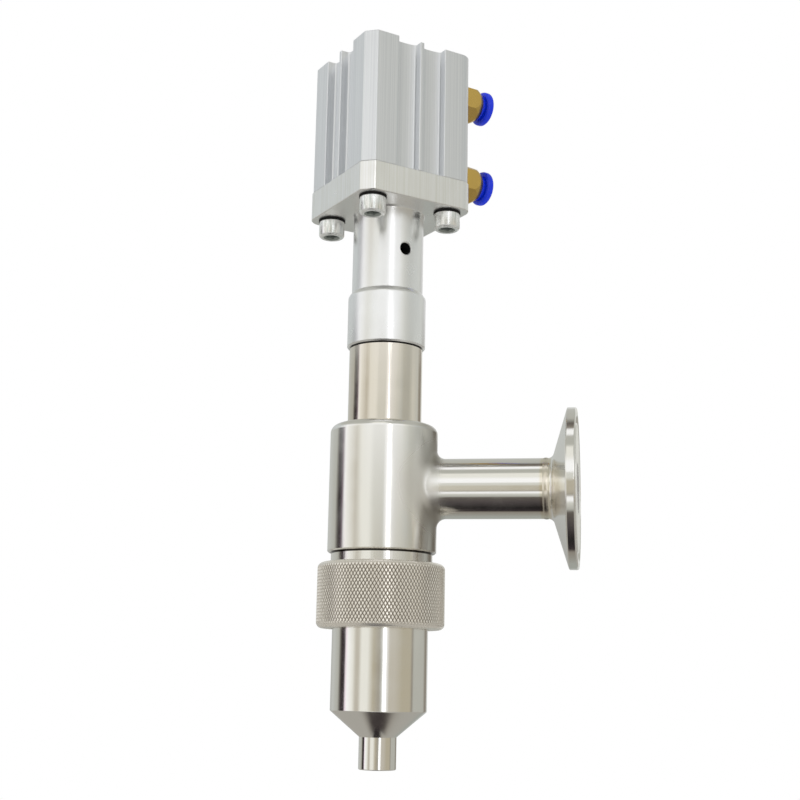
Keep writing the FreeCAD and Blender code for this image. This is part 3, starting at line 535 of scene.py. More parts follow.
# %% Finishes by slot
finishes = {
    "anodised_aluminium": anodised, "turned_aluminium": turned_aluminium,
    "cap_aluminium": cap_aluminium, "turned_stainless": turned_stainless,
    "knurled_stainless": turned_stainless, "plated_screw": zinc, "turned_brass": brass,
    **small_parts,
}
for part in frame["record"]["subparts"]:
    mesh = nodes[part["node"]].data
    mesh.materials.clear()
    mesh.materials.append(finishes[part["material_slot"]])
for name in ("inlet_pipe", "inlet_ferrule"):
    nodes[name].data.materials[0] = branch_stainless

# %% [markdown]
# ## Working by hand, in code
#
# The next pieces are modelled as they would be by hand: a primitive, edit mode, and modifiers that
# are applied at once.

# %% Picking a piece and applying a modifier
def pick(thing):
    """Makes one object the only selected and the active one."""
    bpy.ops.object.select_all(action="DESELECT")
    thing.select_set(True)
    bpy.context.view_layer.objects.active = thing


def apply(thing, kind, **settings):
    """Adds a modifier to the object and applies it at once."""
    pick(thing)
    modifier = thing.modifiers.new(kind.title(), kind)
    for name, value in settings.items():
        setattr(modifier, name, value)
    bpy.ops.object.modifier_apply(modifier=modifier.name)


# %% [markdown]
# ## Edit mode
#
# Where a hand would click on vertices, edges or faces, the code selects them by a test of their
# place. A finished mesh has its doubled vertices merged and its faces turned outward, and is shaded
# smooth except at its sharp edges.

# %% Editing and cleaning
MERGE = 0.002


def edit(thing, mode="VERT"):
    """Opens the object in edit mode with everything selected."""
    pick(thing)
    bpy.ops.object.mode_set(mode="EDIT")
    bpy.ops.mesh.select_mode(type=mode)
    bpy.ops.mesh.select_all(action="SELECT")


def close_edit():
    """Leaves edit mode."""
    bpy.ops.object.mode_set(mode="OBJECT")


def select(kind, test):
    """Selects the vertices, edges or faces that pass a test, and counts them."""
    bpy.ops.mesh.select_all(action="DESELECT")
    mesh = bmesh.from_edit_mesh(bpy.context.object.data)
    chosen = [element for element in getattr(mesh, kind) if test(element)]
    for element in chosen:
        element.select = True
    mesh.select_flush_mode()
    bmesh.update_edit_mesh(bpy.context.object.data)
    return len(chosen)


def clean(thing, angle=30):
    """Merges doubles, turns the normals outward and shades smooth up to an angle."""
    edit(thing)
    bpy.ops.mesh.remove_doubles(threshold=MERGE * MM)
    bpy.ops.mesh.normals_make_consistent(inside=False)
    close_edit()
    bpy.ops.object.shade_smooth_by_angle(angle=math.radians(angle))


print("vertices closer than", MERGE, "mm are merged")

# %% [markdown]
# ## Turning and cutting
#
# A lathe piece starts as one vertex. Extruding it from point to point draws half of the section,
# and a spin turns the section round the axis. Such a piece can be a part or the tool that cuts one.

# %% Turning and cutting
def drawn_section(name, points):
    """A closed line through points of radius and height, in millimetres, in the XZ plane."""
    bpy.ops.mesh.primitive_plane_add(size=MM)
    thing = bpy.context.object
    thing.name = name
    edit(thing)
    bpy.ops.mesh.merge(type="CENTER")
    bpy.ops.transform.translate(value=(points[0][0] * MM, 0, points[0][1] * MM))
    for before, after in zip(points, points[1:] + points[:1]):
        step = ((after[0] - before[0]) * MM, 0, (after[1] - before[1]) * MM)
        bpy.ops.mesh.extrude_vertices_move(TRANSFORM_OT_translate={"value": step})
    bpy.ops.mesh.select_all(action="SELECT")
    bpy.ops.mesh.remove_doubles(threshold=MERGE * MM)
    close_edit()
    return thing


def lathe(name, points, steps):
    """A piece turned round the Z axis from a closed section."""
    thing = drawn_section(name, points)
    edit(thing)
    bpy.ops.mesh.spin(steps=steps, angle=2 * math.pi, center=(0, 0, 0), axis=(0, 0, 1))
    close_edit()
    clean(thing)
    return thing


def arc(centre, radius, start, end, steps=8):
    """Points of an arc in the section, its angles in degrees from the radius direction."""
    angles = [math.radians(start + (end - start) * i / steps) for i in range(steps + 1)]
    return [(centre[0] + radius * math.cos(a), centre[1] + radius * math.sin(a)) for a in angles]


def cut(thing, tool, operation="DIFFERENCE"):
    """Cuts an object with a tool, which is used up."""
    apply(thing, "BOOLEAN", operation=operation, solver="MANIFOLD", object=tool)
    bpy.data.objects.remove(tool)


print("a quarter arc has", len(arc((0, 0), 1, 0, 90)), "points")

# %% [markdown]
# ## Standing in for the construction
#
# The construction itself is never changed. A piece that needs more detail is copied, worked on and
# put in its place. Every piece rides on the body of the machine that it moves with.

# %% Copies and places
def copy_of(name):
    """A merged copy of a construction node, to be changed and put in its place."""
    thing = nodes[name].copy()
    thing.data = nodes[name].data.copy()
    thing.name = name + "_finished"
    thing.parent = None
    thing.matrix_world = Matrix.Identity(4)
    bpy.context.scene.collection.objects.link(thing)
    pick(thing)
    bpy.ops.mesh.customdata_custom_splitnormals_clear()
    clean(thing)
    return thing


def put(thing, body, finish, node=None):
    """Gives a finished piece its material, its body and the node that it stands for."""
    thing.data.materials.clear()
    thing.data.materials.append(finish)
    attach(thing, body)
    if node:
        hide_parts(node)
    print(thing.name, "faces:", len(thing.data.polygons), "rides on", body)


# %% [markdown]
# ## The knurled nut
#
# A union nut is tightened by hand, so its rim is knurled. Two hardened wheels with slanted teeth
# roll into the turning blank and raise a net of small diamond points. The points stay sharp on the
# straight rim and fade out on the rounded corners, where the blank falls away from the wheels.
#
# The knurl is modelled flat and then rolled up, because a flat pattern is easy to repeat. One
# diamond is inset twice into a rounded pyramid, and two of them make the staggered pair that
# repeats.

# %% One pair of diamonds
NUT_RADIUS, NUT_CORNER = 20.05, 1.8
NUT_LIP_BORE, NUT_THREAD_BORE = 15.25, 16.55
NUT_FOOT, NUT_SHELF, NUT_TOP = 42.3, 46.3, 62.6
DIAMONDS_ROUND = 110
DIAMOND_WIDTH = 2 * math.pi * NUT_RADIUS / DIAMONDS_ROUND
DIAMOND_HEIGHT = 1.98
# Each inset goes in from the diamond's edge by the first number, and out by the second.
DIAMOND_INSETS = ((0.17, 0.16), (0.1, 0.06))
DIAMOND_DEPTH = sum(depth for inset, depth in DIAMOND_INSETS)

bpy.ops.mesh.primitive_circle_add(vertices=4, radius=0.5, fill_type="NGON")
knurl = bpy.context.object
knurl.name = "knurled_union_nut"
edit(knurl, "FACE")
bpy.ops.transform.resize(value=(DIAMOND_WIDTH * MM, DIAMOND_HEIGHT * MM, 1))
bpy.ops.transform.rotate(value=-math.pi / 2, orient_axis="X", center_override=(0, 0, 0))
bpy.ops.mesh.duplicate()
bpy.ops.transform.translate(value=(DIAMOND_WIDTH / 2 * MM, 0, DIAMOND_HEIGHT / 2 * MM))
bpy.ops.mesh.select_all(action="SELECT")
for inset, depth in DIAMOND_INSETS:
    bpy.ops.mesh.inset(thickness=inset * MM, depth=depth * MM, use_individual=True)
bpy.ops.mesh.select_all(action="SELECT")
bpy.ops.transform.translate(value=(0, DIAMOND_DEPTH * MM, (NUT_FOOT - DIAMOND_HEIGHT) * MM))
close_edit()
print("one pair of diamonds:", round(DIAMOND_WIDTH, 3), "mm wide,", DIAMOND_HEIGHT, "mm high")

# %% [markdown]
# ## Rolling up the sheet
#
# Arrays lay a sheet as long as the rim and two rows too high. A bend curls it into a tube whose two
# ends lie on each other by half a diamond, and merging their vertices closes the seam.

# %% The sheet, rolled up
KNURL_JOIN, SEAM_JOIN = 0.01, 0.02
diamond_rows = math.ceil((NUT_TOP - NUT_FOOT) / DIAMOND_HEIGHT) + 2
for count, step in ((DIAMONDS_ROUND, (DIAMOND_WIDTH * MM, 0, 0)),
                    (diamond_rows, (0, 0, DIAMOND_HEIGHT * MM))):
    apply(knurl, "ARRAY", count=count, use_relative_offset=False, use_constant_offset=True,
          constant_offset_displace=step, use_merge_vertices=True,
          merge_threshold=KNURL_JOIN * MM)
overlapped = (DIAMONDS_ROUND + 0.5) / DIAMONDS_ROUND
apply(knurl, "SIMPLE_DEFORM", deform_method="BEND", deform_axis="Z",
      angle=2 * math.pi * overlapped)
edit(knurl)
bpy.ops.transform.translate(value=(0, -NUT_RADIUS * MM, 0))
bpy.ops.mesh.remove_doubles(threshold=SEAM_JOIN * MM)
close_edit()
print("rolled sheet:", DIAMONDS_ROUND, "pairs round,", diamond_rows, "pairs high")

# %% [markdown]
# ## Closing the tube
#
# The diamonds leave both rims of the tube jagged. Each is brought to one height and gets a lid,
# because only a closed solid can be cut.

# %% The tube, closed into a bar
NUT_MIDDLE = (NUT_FOOT + NUT_TOP) / 2


def close_rim(thing, upper):
    """Brings one jagged rim of an open tube to a single height and closes it with a lid."""
    edit(thing)
    middle = NUT_MIDDLE * MM
    select("verts", lambda vert: vert.is_boundary and (vert.co.z > middle) == upper)
    mesh = bmesh.from_edit_mesh(thing.data)
    heights = [vert.co.z for vert in mesh.verts if vert.select]
    end = max(heights) if upper else min(heights)
    bpy.ops.transform.resize(value=(1, 1, 0), center_override=(0, 0, end))
    bpy.ops.mesh.edge_face_add()
    close_edit()


close_rim(knurl, False)
close_rim(knurl, True)
clean(knurl)
print("knurled bar:", len(knurl.data.polygons), "faces")

# %% [markdown]
# ## Threads
#
# A lathe cuts a thread with one pointed tool that travels along the turning piece. Here the path of
# that tool is a solid of its own: a long three-sided bar, bent into a helix by as many turns as the
# thread has. Taking it out of a bore or a shank leaves the groove.

# %% The thread tool
THREAD_PITCH = 1.5
THREAD_DEPTH = 0.45
TOOL_POINT = 0.42
TOOL_HALF_WIDTH = 0.8
# One subdivide makes at most 100 cuts, so a turn is cut into 4 parts first, and those into 12.
FIRST_PARTS, LATER_PARTS = 4, 12


def thread_tool(name, surface, low, high, outward):
    """A helical bar with a V edge, which cuts one groove into a bore or a shank."""
    side = 1 if outward else -1
    radius = surface + side * (THREAD_DEPTH - TOOL_POINT)
    turns = (high - low) / THREAD_PITCH
    length = 2 * math.pi * radius * turns
    bpy.ops.mesh.primitive_cylinder_add(vertices=3, radius=1, depth=length * MM)
    tool = bpy.context.object
    tool.name = name
    edit(tool, "EDGE")
    bpy.ops.transform.resize(value=(TOOL_HALF_WIDTH * MM, -side * TOOL_POINT * MM, 1),
                             center_override=(0, 0, 0))
    select("edges", lambda edge: edge.calc_length() > length * MM / 2)
    bpy.ops.mesh.subdivide(number_cuts=round(turns * FIRST_PARTS) - 1)
    bpy.ops.mesh.subdivide(number_cuts=LATER_PARTS - 1)
    bpy.ops.mesh.select_all(action="SELECT")
    for slant in (math.pi / 2, -math.atan((high - low) / length)):
        bpy.ops.transform.rotate(value=slant, orient_axis="Y", center_override=(0, 0, 0))
    close_edit()
    apply(tool, "SIMPLE_DEFORM", deform_method="BEND", deform_axis="Z",
          angle=2 * math.pi * turns)
    edit(tool)
    bpy.ops.transform.translate(value=(0, -radius * MM, (low + high) / 2 * MM))
    close_edit()
    clean(tool)
    return tool


print("thread pitch:", THREAD_PITCH, "mm")

# %% [markdown]
# ## The turned blank
#
# The bar is now cut to what it shares with the turned blank, which has the nut's bore, shelf and
# rounded corners. Between its corners the blank is a little wider than the bar, so there the knurl
# keeps its points. The thread comes last, as on the lathe.

# %% The blank, cut out of the knurled bar
NUT_THREAD = (49.0, 63.2)
SPARE = 0.4
corner_in = NUT_RADIUS - NUT_CORNER
corner_low, corner_high = NUT_FOOT + NUT_CORNER, NUT_TOP - NUT_CORNER
blank = lathe("nut_blank", [(NUT_LIP_BORE, NUT_FOOT)]
              + arc((corner_in, corner_low), NUT_CORNER, -90, -5)
              + [(NUT_RADIUS + SPARE, corner_low), (NUT_RADIUS + SPARE, corner_high)]
              + arc((corner_in, corner_high), NUT_CORNER, 5, 90)
              + [(NUT_THREAD_BORE + 1, NUT_TOP), (NUT_THREAD_BORE, NUT_TOP - 1),
                 (NUT_THREAD_BORE, NUT_SHELF), (NUT_LIP_BORE, NUT_SHELF)],
              steps=2 * DIAMONDS_ROUND)
cut(knurl, blank, "INTERSECT")
cut(knurl, thread_tool("nut_thread_tool", NUT_THREAD_BORE, *NUT_THREAD, outward=True))
clean(knurl, angle=50)
print("the nut is", round(NUT_TOP - NUT_FOOT, 1), "mm high")

# %% [markdown]
# ## The look of a knurl
#
# The wheels press the steel and burnish the points, and so does every hand that turns the nut. The
# valleys are painted dull brown, as painted shade, so the colour follows the depth: pale on the
# points, dark between them. The tiny facets throw light every way, which looks less like a mirror
# than the turned steel beside it.

# %% Knurled steel
# In millimetres: how far from the rim's middle the painted shade fades out, and how deep the points
# are bare of it.
RIM_FADE = (8.0, 9.6)
POINT = 0.03


def knurled_steel():
    """Steel with burnished points and painted shade in the valleys between them."""
    material = turned_metal("knurled_stainless_steel", "#F4F1EC", 0.26, 0.0, UPRIGHT)
    tree, shader = shader_of(material)
    reach = from_axis(tree, UPRIGHT)
    deep = ramp(tree, reach, NUT_RADIUS - DIAMOND_DEPTH, NUT_RADIUS - POINT, 1, 0)
    straight_rim = ramp(tree, from_level(tree, NUT_MIDDLE * MM), *RIM_FADE, 1, 0)
    # The valleys are painted dull brown: painted shade.
    valley_shade = overlap(tree, deep, straight_rim)
    colour = add(tree, "MixRGB", {"Fac": valley_shade, "Color1": linear("#F6F1E8"),
                                  "Color2": linear("#81776A")})
    shader.inputs["Metallic"].default_value = 0.8
    tree.links.new(colour.outputs["Color"], shader.inputs["Base Color"])
    return material


put(knurl, "nut", knurled_steel(), node="union_nut")

# %% [markdown]
# ## The thread and the grooves of body and tube
#
# When the nut comes off, the thread that it ran on can be seen. It is cut only as deep as the neck
# above it. The two relief grooves are turned as well: a ring with a square section is taken out.

# %% The thread and the grooves
BODY_THREAD = (49.4, 59.3)
BODY_GROOVE, TUBE_GROOVE = 0.6, 0.4


def cut_groove(thing, radius, depth, low, high):
    """Turns a square groove into the outside of a piece."""
    inner, outer = radius - depth, radius + 0.3
    section = [(inner, low), (outer, low), (outer, high), (inner, high)]
    cut(thing, lathe("groove_tool", section, steps=128))
    clean(thing)


valve_body = copy_of("valve_body")
cut(valve_body, thread_tool("body_thread_tool", NECK_RADIUS, *BODY_THREAD, outward=False))
cut_groove(valve_body, NECK_RADIUS, BODY_GROOVE, BODY_FOOT - RELIEF_HEIGHT, BODY_FOOT)
put(valve_body, "housing", blended_tee, node="valve_body")

stem_tube = copy_of("stem_tube")
cut_groove(stem_tube, TUBE_RADIUS, TUBE_GROOVE, COLLAR_FOOT - RELIEF_HEIGHT,
           COLLAR_FOOT + UNDER_COLLAR)
put(stem_tube, "housing", tube_stainless, node="stem_tube")

# %% [markdown]
# ## The weld of the ferrule
#
# The ferrule is welded to its pipe by a machine that runs round the joint. The bead is low and
# narrow, and each pulse of the arc left a ripple across it. It is turned as a flat lens, and every
# second line along it is pressed in a little.

# %% The weld bead
BEAD_HALF_WIDTH = 0.75
BEAD_HEIGHT = 0.14
BEAD_RIPPLES = 150
RIPPLE_DEPTH = 0.045
PIPE_RADIUS = (pipe_high.z - pipe_low.z) / 2 / MM


def weld_bead():
    """A low rippled ring round the pipe, where the ferrule begins."""
    rise = [(-0.1, -1), (0.02, -1), (0.75 * BEAD_HEIGHT, -0.5), (BEAD_HEIGHT, 0),
            (0.75 * BEAD_HEIGHT, 0.5), (0.02, 1), (-0.1, 1)]
    lens = [(PIPE_RADIUS + height, place * BEAD_HALF_WIDTH) for height, place in rise]
    bead = lathe("ferrule_weld", lens, steps=2 * BEAD_RIPPLES)

    def rippled(vert):
        turn = math.atan2(vert.co.y, vert.co.x) / math.pi * BEAD_RIPPLES
        outside = math.hypot(vert.co.x, vert.co.y) > (PIPE_RADIUS + 0.05) * MM
        return outside and round(turn) % 2 == 1

    edit(bead)
    select("verts", rippled)
    pressed = 1 - RIPPLE_DEPTH / PIPE_RADIUS
    bpy.ops.transform.resize(value=(pressed, pressed, 1), center_override=(0, 0, 0))
    bpy.ops.mesh.select_all(action="SELECT")
    bpy.ops.transform.rotate(value=math.pi / 2, orient_axis="Y", center_override=(0, 0, 0))
    bpy.ops.transform.translate(value=(FERRULE_WELD * MM, 0, branch_middle[2]))
    close_edit()
    clean(bead, angle=60)
    return bead


# Weld metal that was left as it froze: yellower and duller than the turned steel on both sides.
weld_metal = plain("welded_stainless_steel", "#EDE6D8", 1.0, 0.24, grain=0.4)
put(weld_bead(), "housing", weld_metal)

# %% [markdown]
# ## Broken edges
#
# No machined or sawn edge stays razor sharp: it is broken with a file, and that narrow facet
# catches the light as a thin bright line. On the barrel it follows the grooves and ribs along their
# whole length, and where the barrel stands on the plate, the two facets meet in a fine dark joint.
#
# The construction comes as triangles, so the flat faces are dissolved first. Then the sharp edges
# of the outside are bevelled, upright ones and rims, but not those of the bores and screw holes.

# %% Breaking the edges of the barrel and the plate
# In millimetres: how far out the outside begins, the rim of a screw hole, how near to a level
# counts as on it, and how long an upright edge is at least.
OUTSIDE_REACH = 15.5
HOLE_RIM = 3.4
LEVEL, LONG = 0.01, 5.0
SHARP, FLAT = math.radians(35), math.radians(0.5)
straight = Matrix.Rotation(-CYLINDER_ANGLE, 3, "Z")


def broken_edges(name, width, low, high, finish):
    """A copy of a square piece with the edges of its outside broken, between two heights."""
    def between(vert):
        return low - LEVEL < vert.co.z / MM < high + LEVEL

    def outside(vert):
        x, y = [abs(side) / MM for side in (straight @ vert.co)[:2]]
        inside_hole = math.hypot(x - SCREW_OFFSET, y - SCREW_OFFSET) < HOLE_RIM
        return max(x, y) > OUTSIDE_REACH and not inside_hole and between(vert)

    def to_break(edge):
        levels = [vert.co.z / MM for vert in edge.verts]
        upright = abs(levels[0] - levels[1]) > LONG
        rim = all(min(abs(level - low), abs(level - high)) < LEVEL for level in levels)
        sharp = edge.is_manifold and edge.calc_face_angle() > SHARP
        return sharp and all(outside(vert) for vert in edge.verts) and (upright or rim)

    thing = copy_of(name)
    edit(thing, "FACE")
    select("faces", lambda face: all(between(vert) for vert in face.verts))
    bpy.ops.mesh.dissolve_limited(angle_limit=FLAT)
    bpy.ops.mesh.select_mode(type="EDGE")
    print(name, "edges broken:", select("edges", to_break))
    bpy.ops.mesh.bevel(offset=width * MM, segments=1, clamp_overlap=False)
    close_edit()
    clean(thing, angle=25)
    put(thing, "housing", finish, node=name)


barrel_low, barrel_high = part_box("cylinder_barrel")
broken_edges("cylinder_barrel", 0.16, barrel_low.z / MM, barrel_high.z / MM, anodised)
broken_edges("adapter", 0.25, PLATE_FOOT, barrel_low.z / MM, turned_aluminium)

# %% [markdown]
# ## Socket head screws
#
# The heads of cap screws are cold formed, and a fine straight knurl on their side gives a dry
# finger its grip. A screw is all steps along one axis, so it is extruded from one circle: each step
# extrudes the face at an end of the screw and draws it in.

# %% Steps of a screw
SCREW_HEAD, SCREW_SHANK, HEAD_HEIGHT = 4.25, 2.5, 5.4
SCREW_FLUTES, FLUTE_SIZE = 60, 0.996
# Each step goes on by the first number, in millimetres, and draws in by the second.
DOME = ((0.42, 0.945), (0.28, 0.9))
SHOULDER = (0.25, 0.95)
TIP = (0.35, 0.86)
screw_low, screw_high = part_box("cap_screws")
screw_foot, screw_tip = screw_low.z / MM, screw_high.z / MM
screw_bearing = screw_foot + HEAD_HEIGHT
dome_height = DOME[0][0] + DOME[1][0]


def grow(direction, height, size):
    """Extrudes the face at the upper or the lower end, then scales it."""
    mesh = bmesh.from_edit_mesh(bpy.context.object.data)
    end = max(mesh.faces, key=lambda face: face.calc_center_median().z * direction)
    bpy.ops.mesh.select_all(action="DESELECT")
    end.select = True
    bmesh.update_edit_mesh(bpy.context.object.data)
    way = (0, 0, direction * height * MM)
    bpy.ops.mesh.extrude_region_move(TRANSFORM_OT_translate={"value": way})
    bpy.ops.transform.resize(value=(size, size, 1), center_override=(0, 0, 0))


print("a screw is", round(screw_tip - screw_foot, 1), "mm long, its head", HEAD_HEIGHT, "mm")

# %% [markdown]
# ## One screw
#
# Every second vertex of the circle is pressed in a little, which makes the flutes of the knurl. The
# shank grows upward from it, and the rounded end of the head downward in two steps.

# %% One screw
def cap_screw():
    """One socket head screw on the Z axis, head down."""
    bpy.ops.mesh.primitive_circle_add(vertices=2 * SCREW_FLUTES, radius=SCREW_HEAD * MM,
                                      fill_type="NGON")
    screw = bpy.context.object
    screw.name = "socket_head_screws"
    edit(screw)
    bpy.ops.transform.translate(value=(0, 0, (screw_foot + dome_height) * MM))
    select("verts", lambda vert: vert.index % 2 == 1)
    bpy.ops.transform.resize(value=(FLUTE_SIZE, FLUTE_SIZE, 1), center_override=(0, 0, 0))
    bpy.ops.mesh.select_mode(type="FACE")
    bpy.ops.mesh.select_all(action="SELECT")
    side = (HEAD_HEIGHT - dome_height - SHOULDER[0]) * MM
    bpy.ops.mesh.extrude_region_move(TRANSFORM_OT_translate={"value": (0, 0, side)})
    grow(1, *SHOULDER)
    grow(1, 0, SCREW_SHANK / SCREW_HEAD / SHOULDER[1])
    grow(1, screw_tip - screw_bearing - TIP[0], 1)
    grow(1, *TIP)
    for step in DOME:
        grow(-1, *step)
    close_edit()
    clean(screw, angle=40)
    return screw


screws = cap_screw()
print("flutes round the head:", SCREW_FLUTES)

# %% [markdown]
# ## The socket
#
# A punch pressed the socket into the head. A hexagonal bar cuts it here, and a blunt cone opens its
# mouth, where the key finds its way in.

# %% The socket
SOCKET_WIDTH, SOCKET_DEPTH, SOCKET_LEAD = 4.0, 2.6, 0.45
HEX_CORNER = SOCKET_WIDTH / math.sqrt(3)


def socket_tool():
    """A hexagonal bar that cuts the socket, with a millimetre to spare below the head."""
    bpy.ops.mesh.primitive_cylinder_add(vertices=6, radius=HEX_CORNER * MM, depth=MM)
    tool = bpy.context.object
    edit(tool)
    bpy.ops.transform.resize(value=(1, 1, SOCKET_DEPTH + 1), center_override=(0, 0, 0))
    bpy.ops.transform.translate(value=(0, 0, (screw_foot + (SOCKET_DEPTH - 1) / 2) * MM))
    close_edit()
    clean(tool)
    return tool


def countersink():
    """A blunt cone that opens the mouth of the socket."""
    wide = 2 * (HEX_CORNER + SOCKET_LEAD) * MM
    bpy.ops.mesh.primitive_cone_add(vertices=48, radius1=wide, radius2=0, depth=wide)
    tool = bpy.context.object
    edit(tool)
    bpy.ops.transform.translate(value=(0, 0, screw_foot * MM))
    close_edit()
    clean(tool)
    return tool


cut(screws, socket_tool())
cut(screws, countersink())
clean(screws, angle=40)
print("socket:", SOCKET_WIDTH, "mm across its flats,", SOCKET_DEPTH, "mm deep")

# %% [markdown]
# ## The other three
#
# The screw is moved to its corner and copied from corner to corner. Both are steps along the sides
# of the plate, which is turned, so the steps are turned with it.

# %% Four screws in the plate's corners
askew = Matrix.Rotation(CYLINDER_ANGLE, 3, "Z")
edit(screws)
bpy.ops.transform.translate(value=askew @ Vector((SCREW_OFFSET, SCREW_OFFSET, 0)) * MM)
for step in ((-2, 0, 0), (0, -2, 0), (2, 0, 0)):
    bpy.ops.mesh.duplicate()
    bpy.ops.transform.translate(value=askew @ Vector(step) * SCREW_OFFSET * MM)
close_edit()
clean(screws, angle=40)
put(screws, "housing", zinc, node="cap_screws")

# %% [markdown]
# ## The room
#
# Polished steel has hardly any colour of its own: what the eye sees on it is the room. A product
# photographer stands the part in a white tent and adds strips of light and dark cards, which become
# the upright bands on the turned pieces. Their colours come first, from dark to light.

# %% Colours of the cards and papers
INK, CARD, SOOT, SMOKE = "#1E1C1C", "#322B2D", "#4A4444", "#5E5852"
MAUVE, STONE, SHADE, SLATE = "#7C6C76", "#8C867C", "#9E988C", "#9EA29C"
MOSS, ASH, DUST, KHAKI = "#A2A49E", "#A8A8A4", "#A9A69F", "#B4AC98"
CLOUD, BEIGE, PALE, FROST = "#B4B4AC", "#C0BAAD", "#C2C4C0", "#C8CCCC"
ICE, SILVER, MIST, CREAM = "#CED2D1", "#D4D4CC", "#E4E4E2", "#EDECE4"
LILAC, SNOW, CHALK, PAPER = "#F4E4EE", "#F4F5F4", "#F8F8F6", "#FFFFFF"
print("darkest card", INK, "and brightest paper", PAPER)

# %% [markdown]
# ## Bands
#
# The walls are three storeys of upright bands. The turned steel mirrors the low and the high one,
# and the softer aluminium above it, which the camera sees more from below, mirrors the top one. The
# pipe lies across, so it mirrors the ceiling and the floor, whose bands run the other way, over the
# part. Each band is an angle in degrees and the colour there.

# %% The bands
LOW_BANDS = [
    (-180, ASH), (-140, PALE), (-114, CLOUD), (-106, SMOKE), (-101, CARD), (-91, CARD),
    (-87, LILAC), (-81, PAPER), (-66, CREAM), (-57, BEIGE), (-50, BEIGE), (-43, CREAM),
    (-28, CREAM), (-14, KHAKI), (0, SHADE), (5, CLOUD), (9, PAPER), (15, PAPER), (24, BEIGE),
    (36, BEIGE), (56, KHAKI), (79, KHAKI), (85, STONE), (90, CLOUD), (130, CLOUD), (140, STONE),
    (152, STONE), (158, MIST), (166, PALE), (180, ASH)]
HIGH_BANDS = [
    (-180, PALE), (-150, PALE), (-120, CLOUD), (-112, SMOKE), (-108, CARD), (-101, CARD),
    (-95, MAUVE), (-90, PAPER), (-82, CREAM), (-60, BEIGE), (-48, CREAM), (-30, CREAM),
    (-20, SILVER), (0, SILVER), (6, PAPER), (11, PAPER), (19, MIST), (34, SILVER), (50, PALE),
    (60, CLOUD), (78, CLOUD), (98, SILVER), (124, PALE), (134, STONE), (150, STONE), (156, MIST),
    (166, SILVER), (180, PALE)]
TOP_BANDS = [
    (-180, PALE), (-140, FROST), (-114, ICE), (-90, PAPER), (-76, CHALK), (-58, CREAM),
    (-40, SNOW), (-24, PAPER), (38, PAPER), (46, CREAM), (56, SILVER), (74, PALE), (88, PALE),
    (112, PALE), (126, SILVER), (140, PALE), (152, MIST), (166, MIST), (180, PALE)]
OVER_BANDS = [
    (-180, SLATE), (-140, MOSS), (-108, STONE), (-103, CARD), (-86, INK), (-60, SOOT),
    (-42, SMOKE), (-38, CLOUD), (-28, SILVER), (-26, PAPER), (-20, PAPER), (-18, STONE),
    (-2, SHADE), (2, MIST), (34, CREAM), (38, CREAM), (52, CREAM), (56, CLOUD), (71, CLOUD),
    (74, PAPER), (83, PAPER), (86, STONE), (96, SMOKE), (108, CLOUD), (180, PALE)]


def bands(tree, angle, colours):
    """Colours laid round a circle by their angle in degrees."""
    turn = add(tree, "MapRange", {"Value": angle, "From Min": -math.pi, "From Max": math.pi})
    stops = [((degrees + 180) / 360, colour) for degrees, colour in colours]
    return add(tree, "ValToRGB", {"Fac": turn.outputs["Result"]}, stops=stops).outputs["Color"]


print("bands:", len(LOW_BANDS), len(HIGH_BANDS), len(TOP_BANDS), len(OVER_BANDS))

# %% [markdown]
# ## Walls, ceiling and floor
#
# A shiny surface looks along a direction, and the room answers with the colour there. The angles
# count from the front of the part, where the camera stands. A height is the upward share of a
# direction of length 1, so 0 is level and 1 is straight up. The bands over and under the part lie
# between two plain sides.

# %% The room's surfaces
FRONT = math.radians(-79.5)
STOREYS = ((0.02, 0.13, HIGH_BANDS), (0.23, 0.27, TOP_BANDS))
WALL_MIDDLE, WALL_REACH = 0.14, (0.31, 0.5)
SIDES_MIDDLE, SIDES_REACH = -0.03, (0.13, 0.36)


def away_from(tree, value, middle):
    """How far a part of a direction is from a middle value."""
    gap = add(tree, "Math", {0: value, 1: middle}, operation="SUBTRACT").outputs[0]
    return add(tree, "Math", {0: gap}, operation="ABSOLUTE").outputs[0]


def walls(tree, part):
    """The storeys of upright bands."""
    round_part = add(tree, "Math", {0: part["Y"], 1: part["X"]}, operation="ARCTAN2").outputs[0]
    colour = bands(tree, round_part, LOW_BANDS)
    for low, high, colours in STOREYS:
        colour = add(tree, "MixRGB", {
            "Fac": ramp(tree, part["Z"], low, high, unit=1), "Color1": colour,
            "Color2": bands(tree, round_part, colours)}).outputs["Color"]
    return colour


def ceiling_and_floor(tree, way, part):
    """The bands over and under the part, between two plain sides."""
    over_part = add(tree, "Math", {0: part["Z"], 1: part["X"]}, operation="ARCTAN2").outputs[0]
    aside = away_from(tree, add(tree, "SeparateXYZ", {0: way}).outputs["X"], SIDES_MIDDLE)
    lift = add(tree, "MapRange", {"Value": part["Z"], "From Min": -0.2, "From Max": 0.5})
    plain_side = add(tree, "ValToRGB", {"Fac": lift.outputs["Result"]},
                     stops=[(0, DUST), (1, CLOUD)])
    to_side = ramp(tree, aside, *SIDES_REACH, unit=1)
    return add(tree, "MixRGB", {"Fac": to_side, "Color1": bands(tree, over_part, OVER_BANDS),
                                "Color2": plain_side.outputs["Color"]}).outputs["Color"]


wall_ends = [round(WALL_MIDDLE + way * WALL_REACH[0], 2) for way in (-1, 1)]
print("the walls fill the heights from", wall_ends[0], "to", wall_ends[1])

# %% [markdown]
# ## The world
#
# The room is drawn into the world, and only shiny surfaces see it. The camera sees plain white, and
# matt surfaces get even light, so that the bands show in the shine and nowhere else.

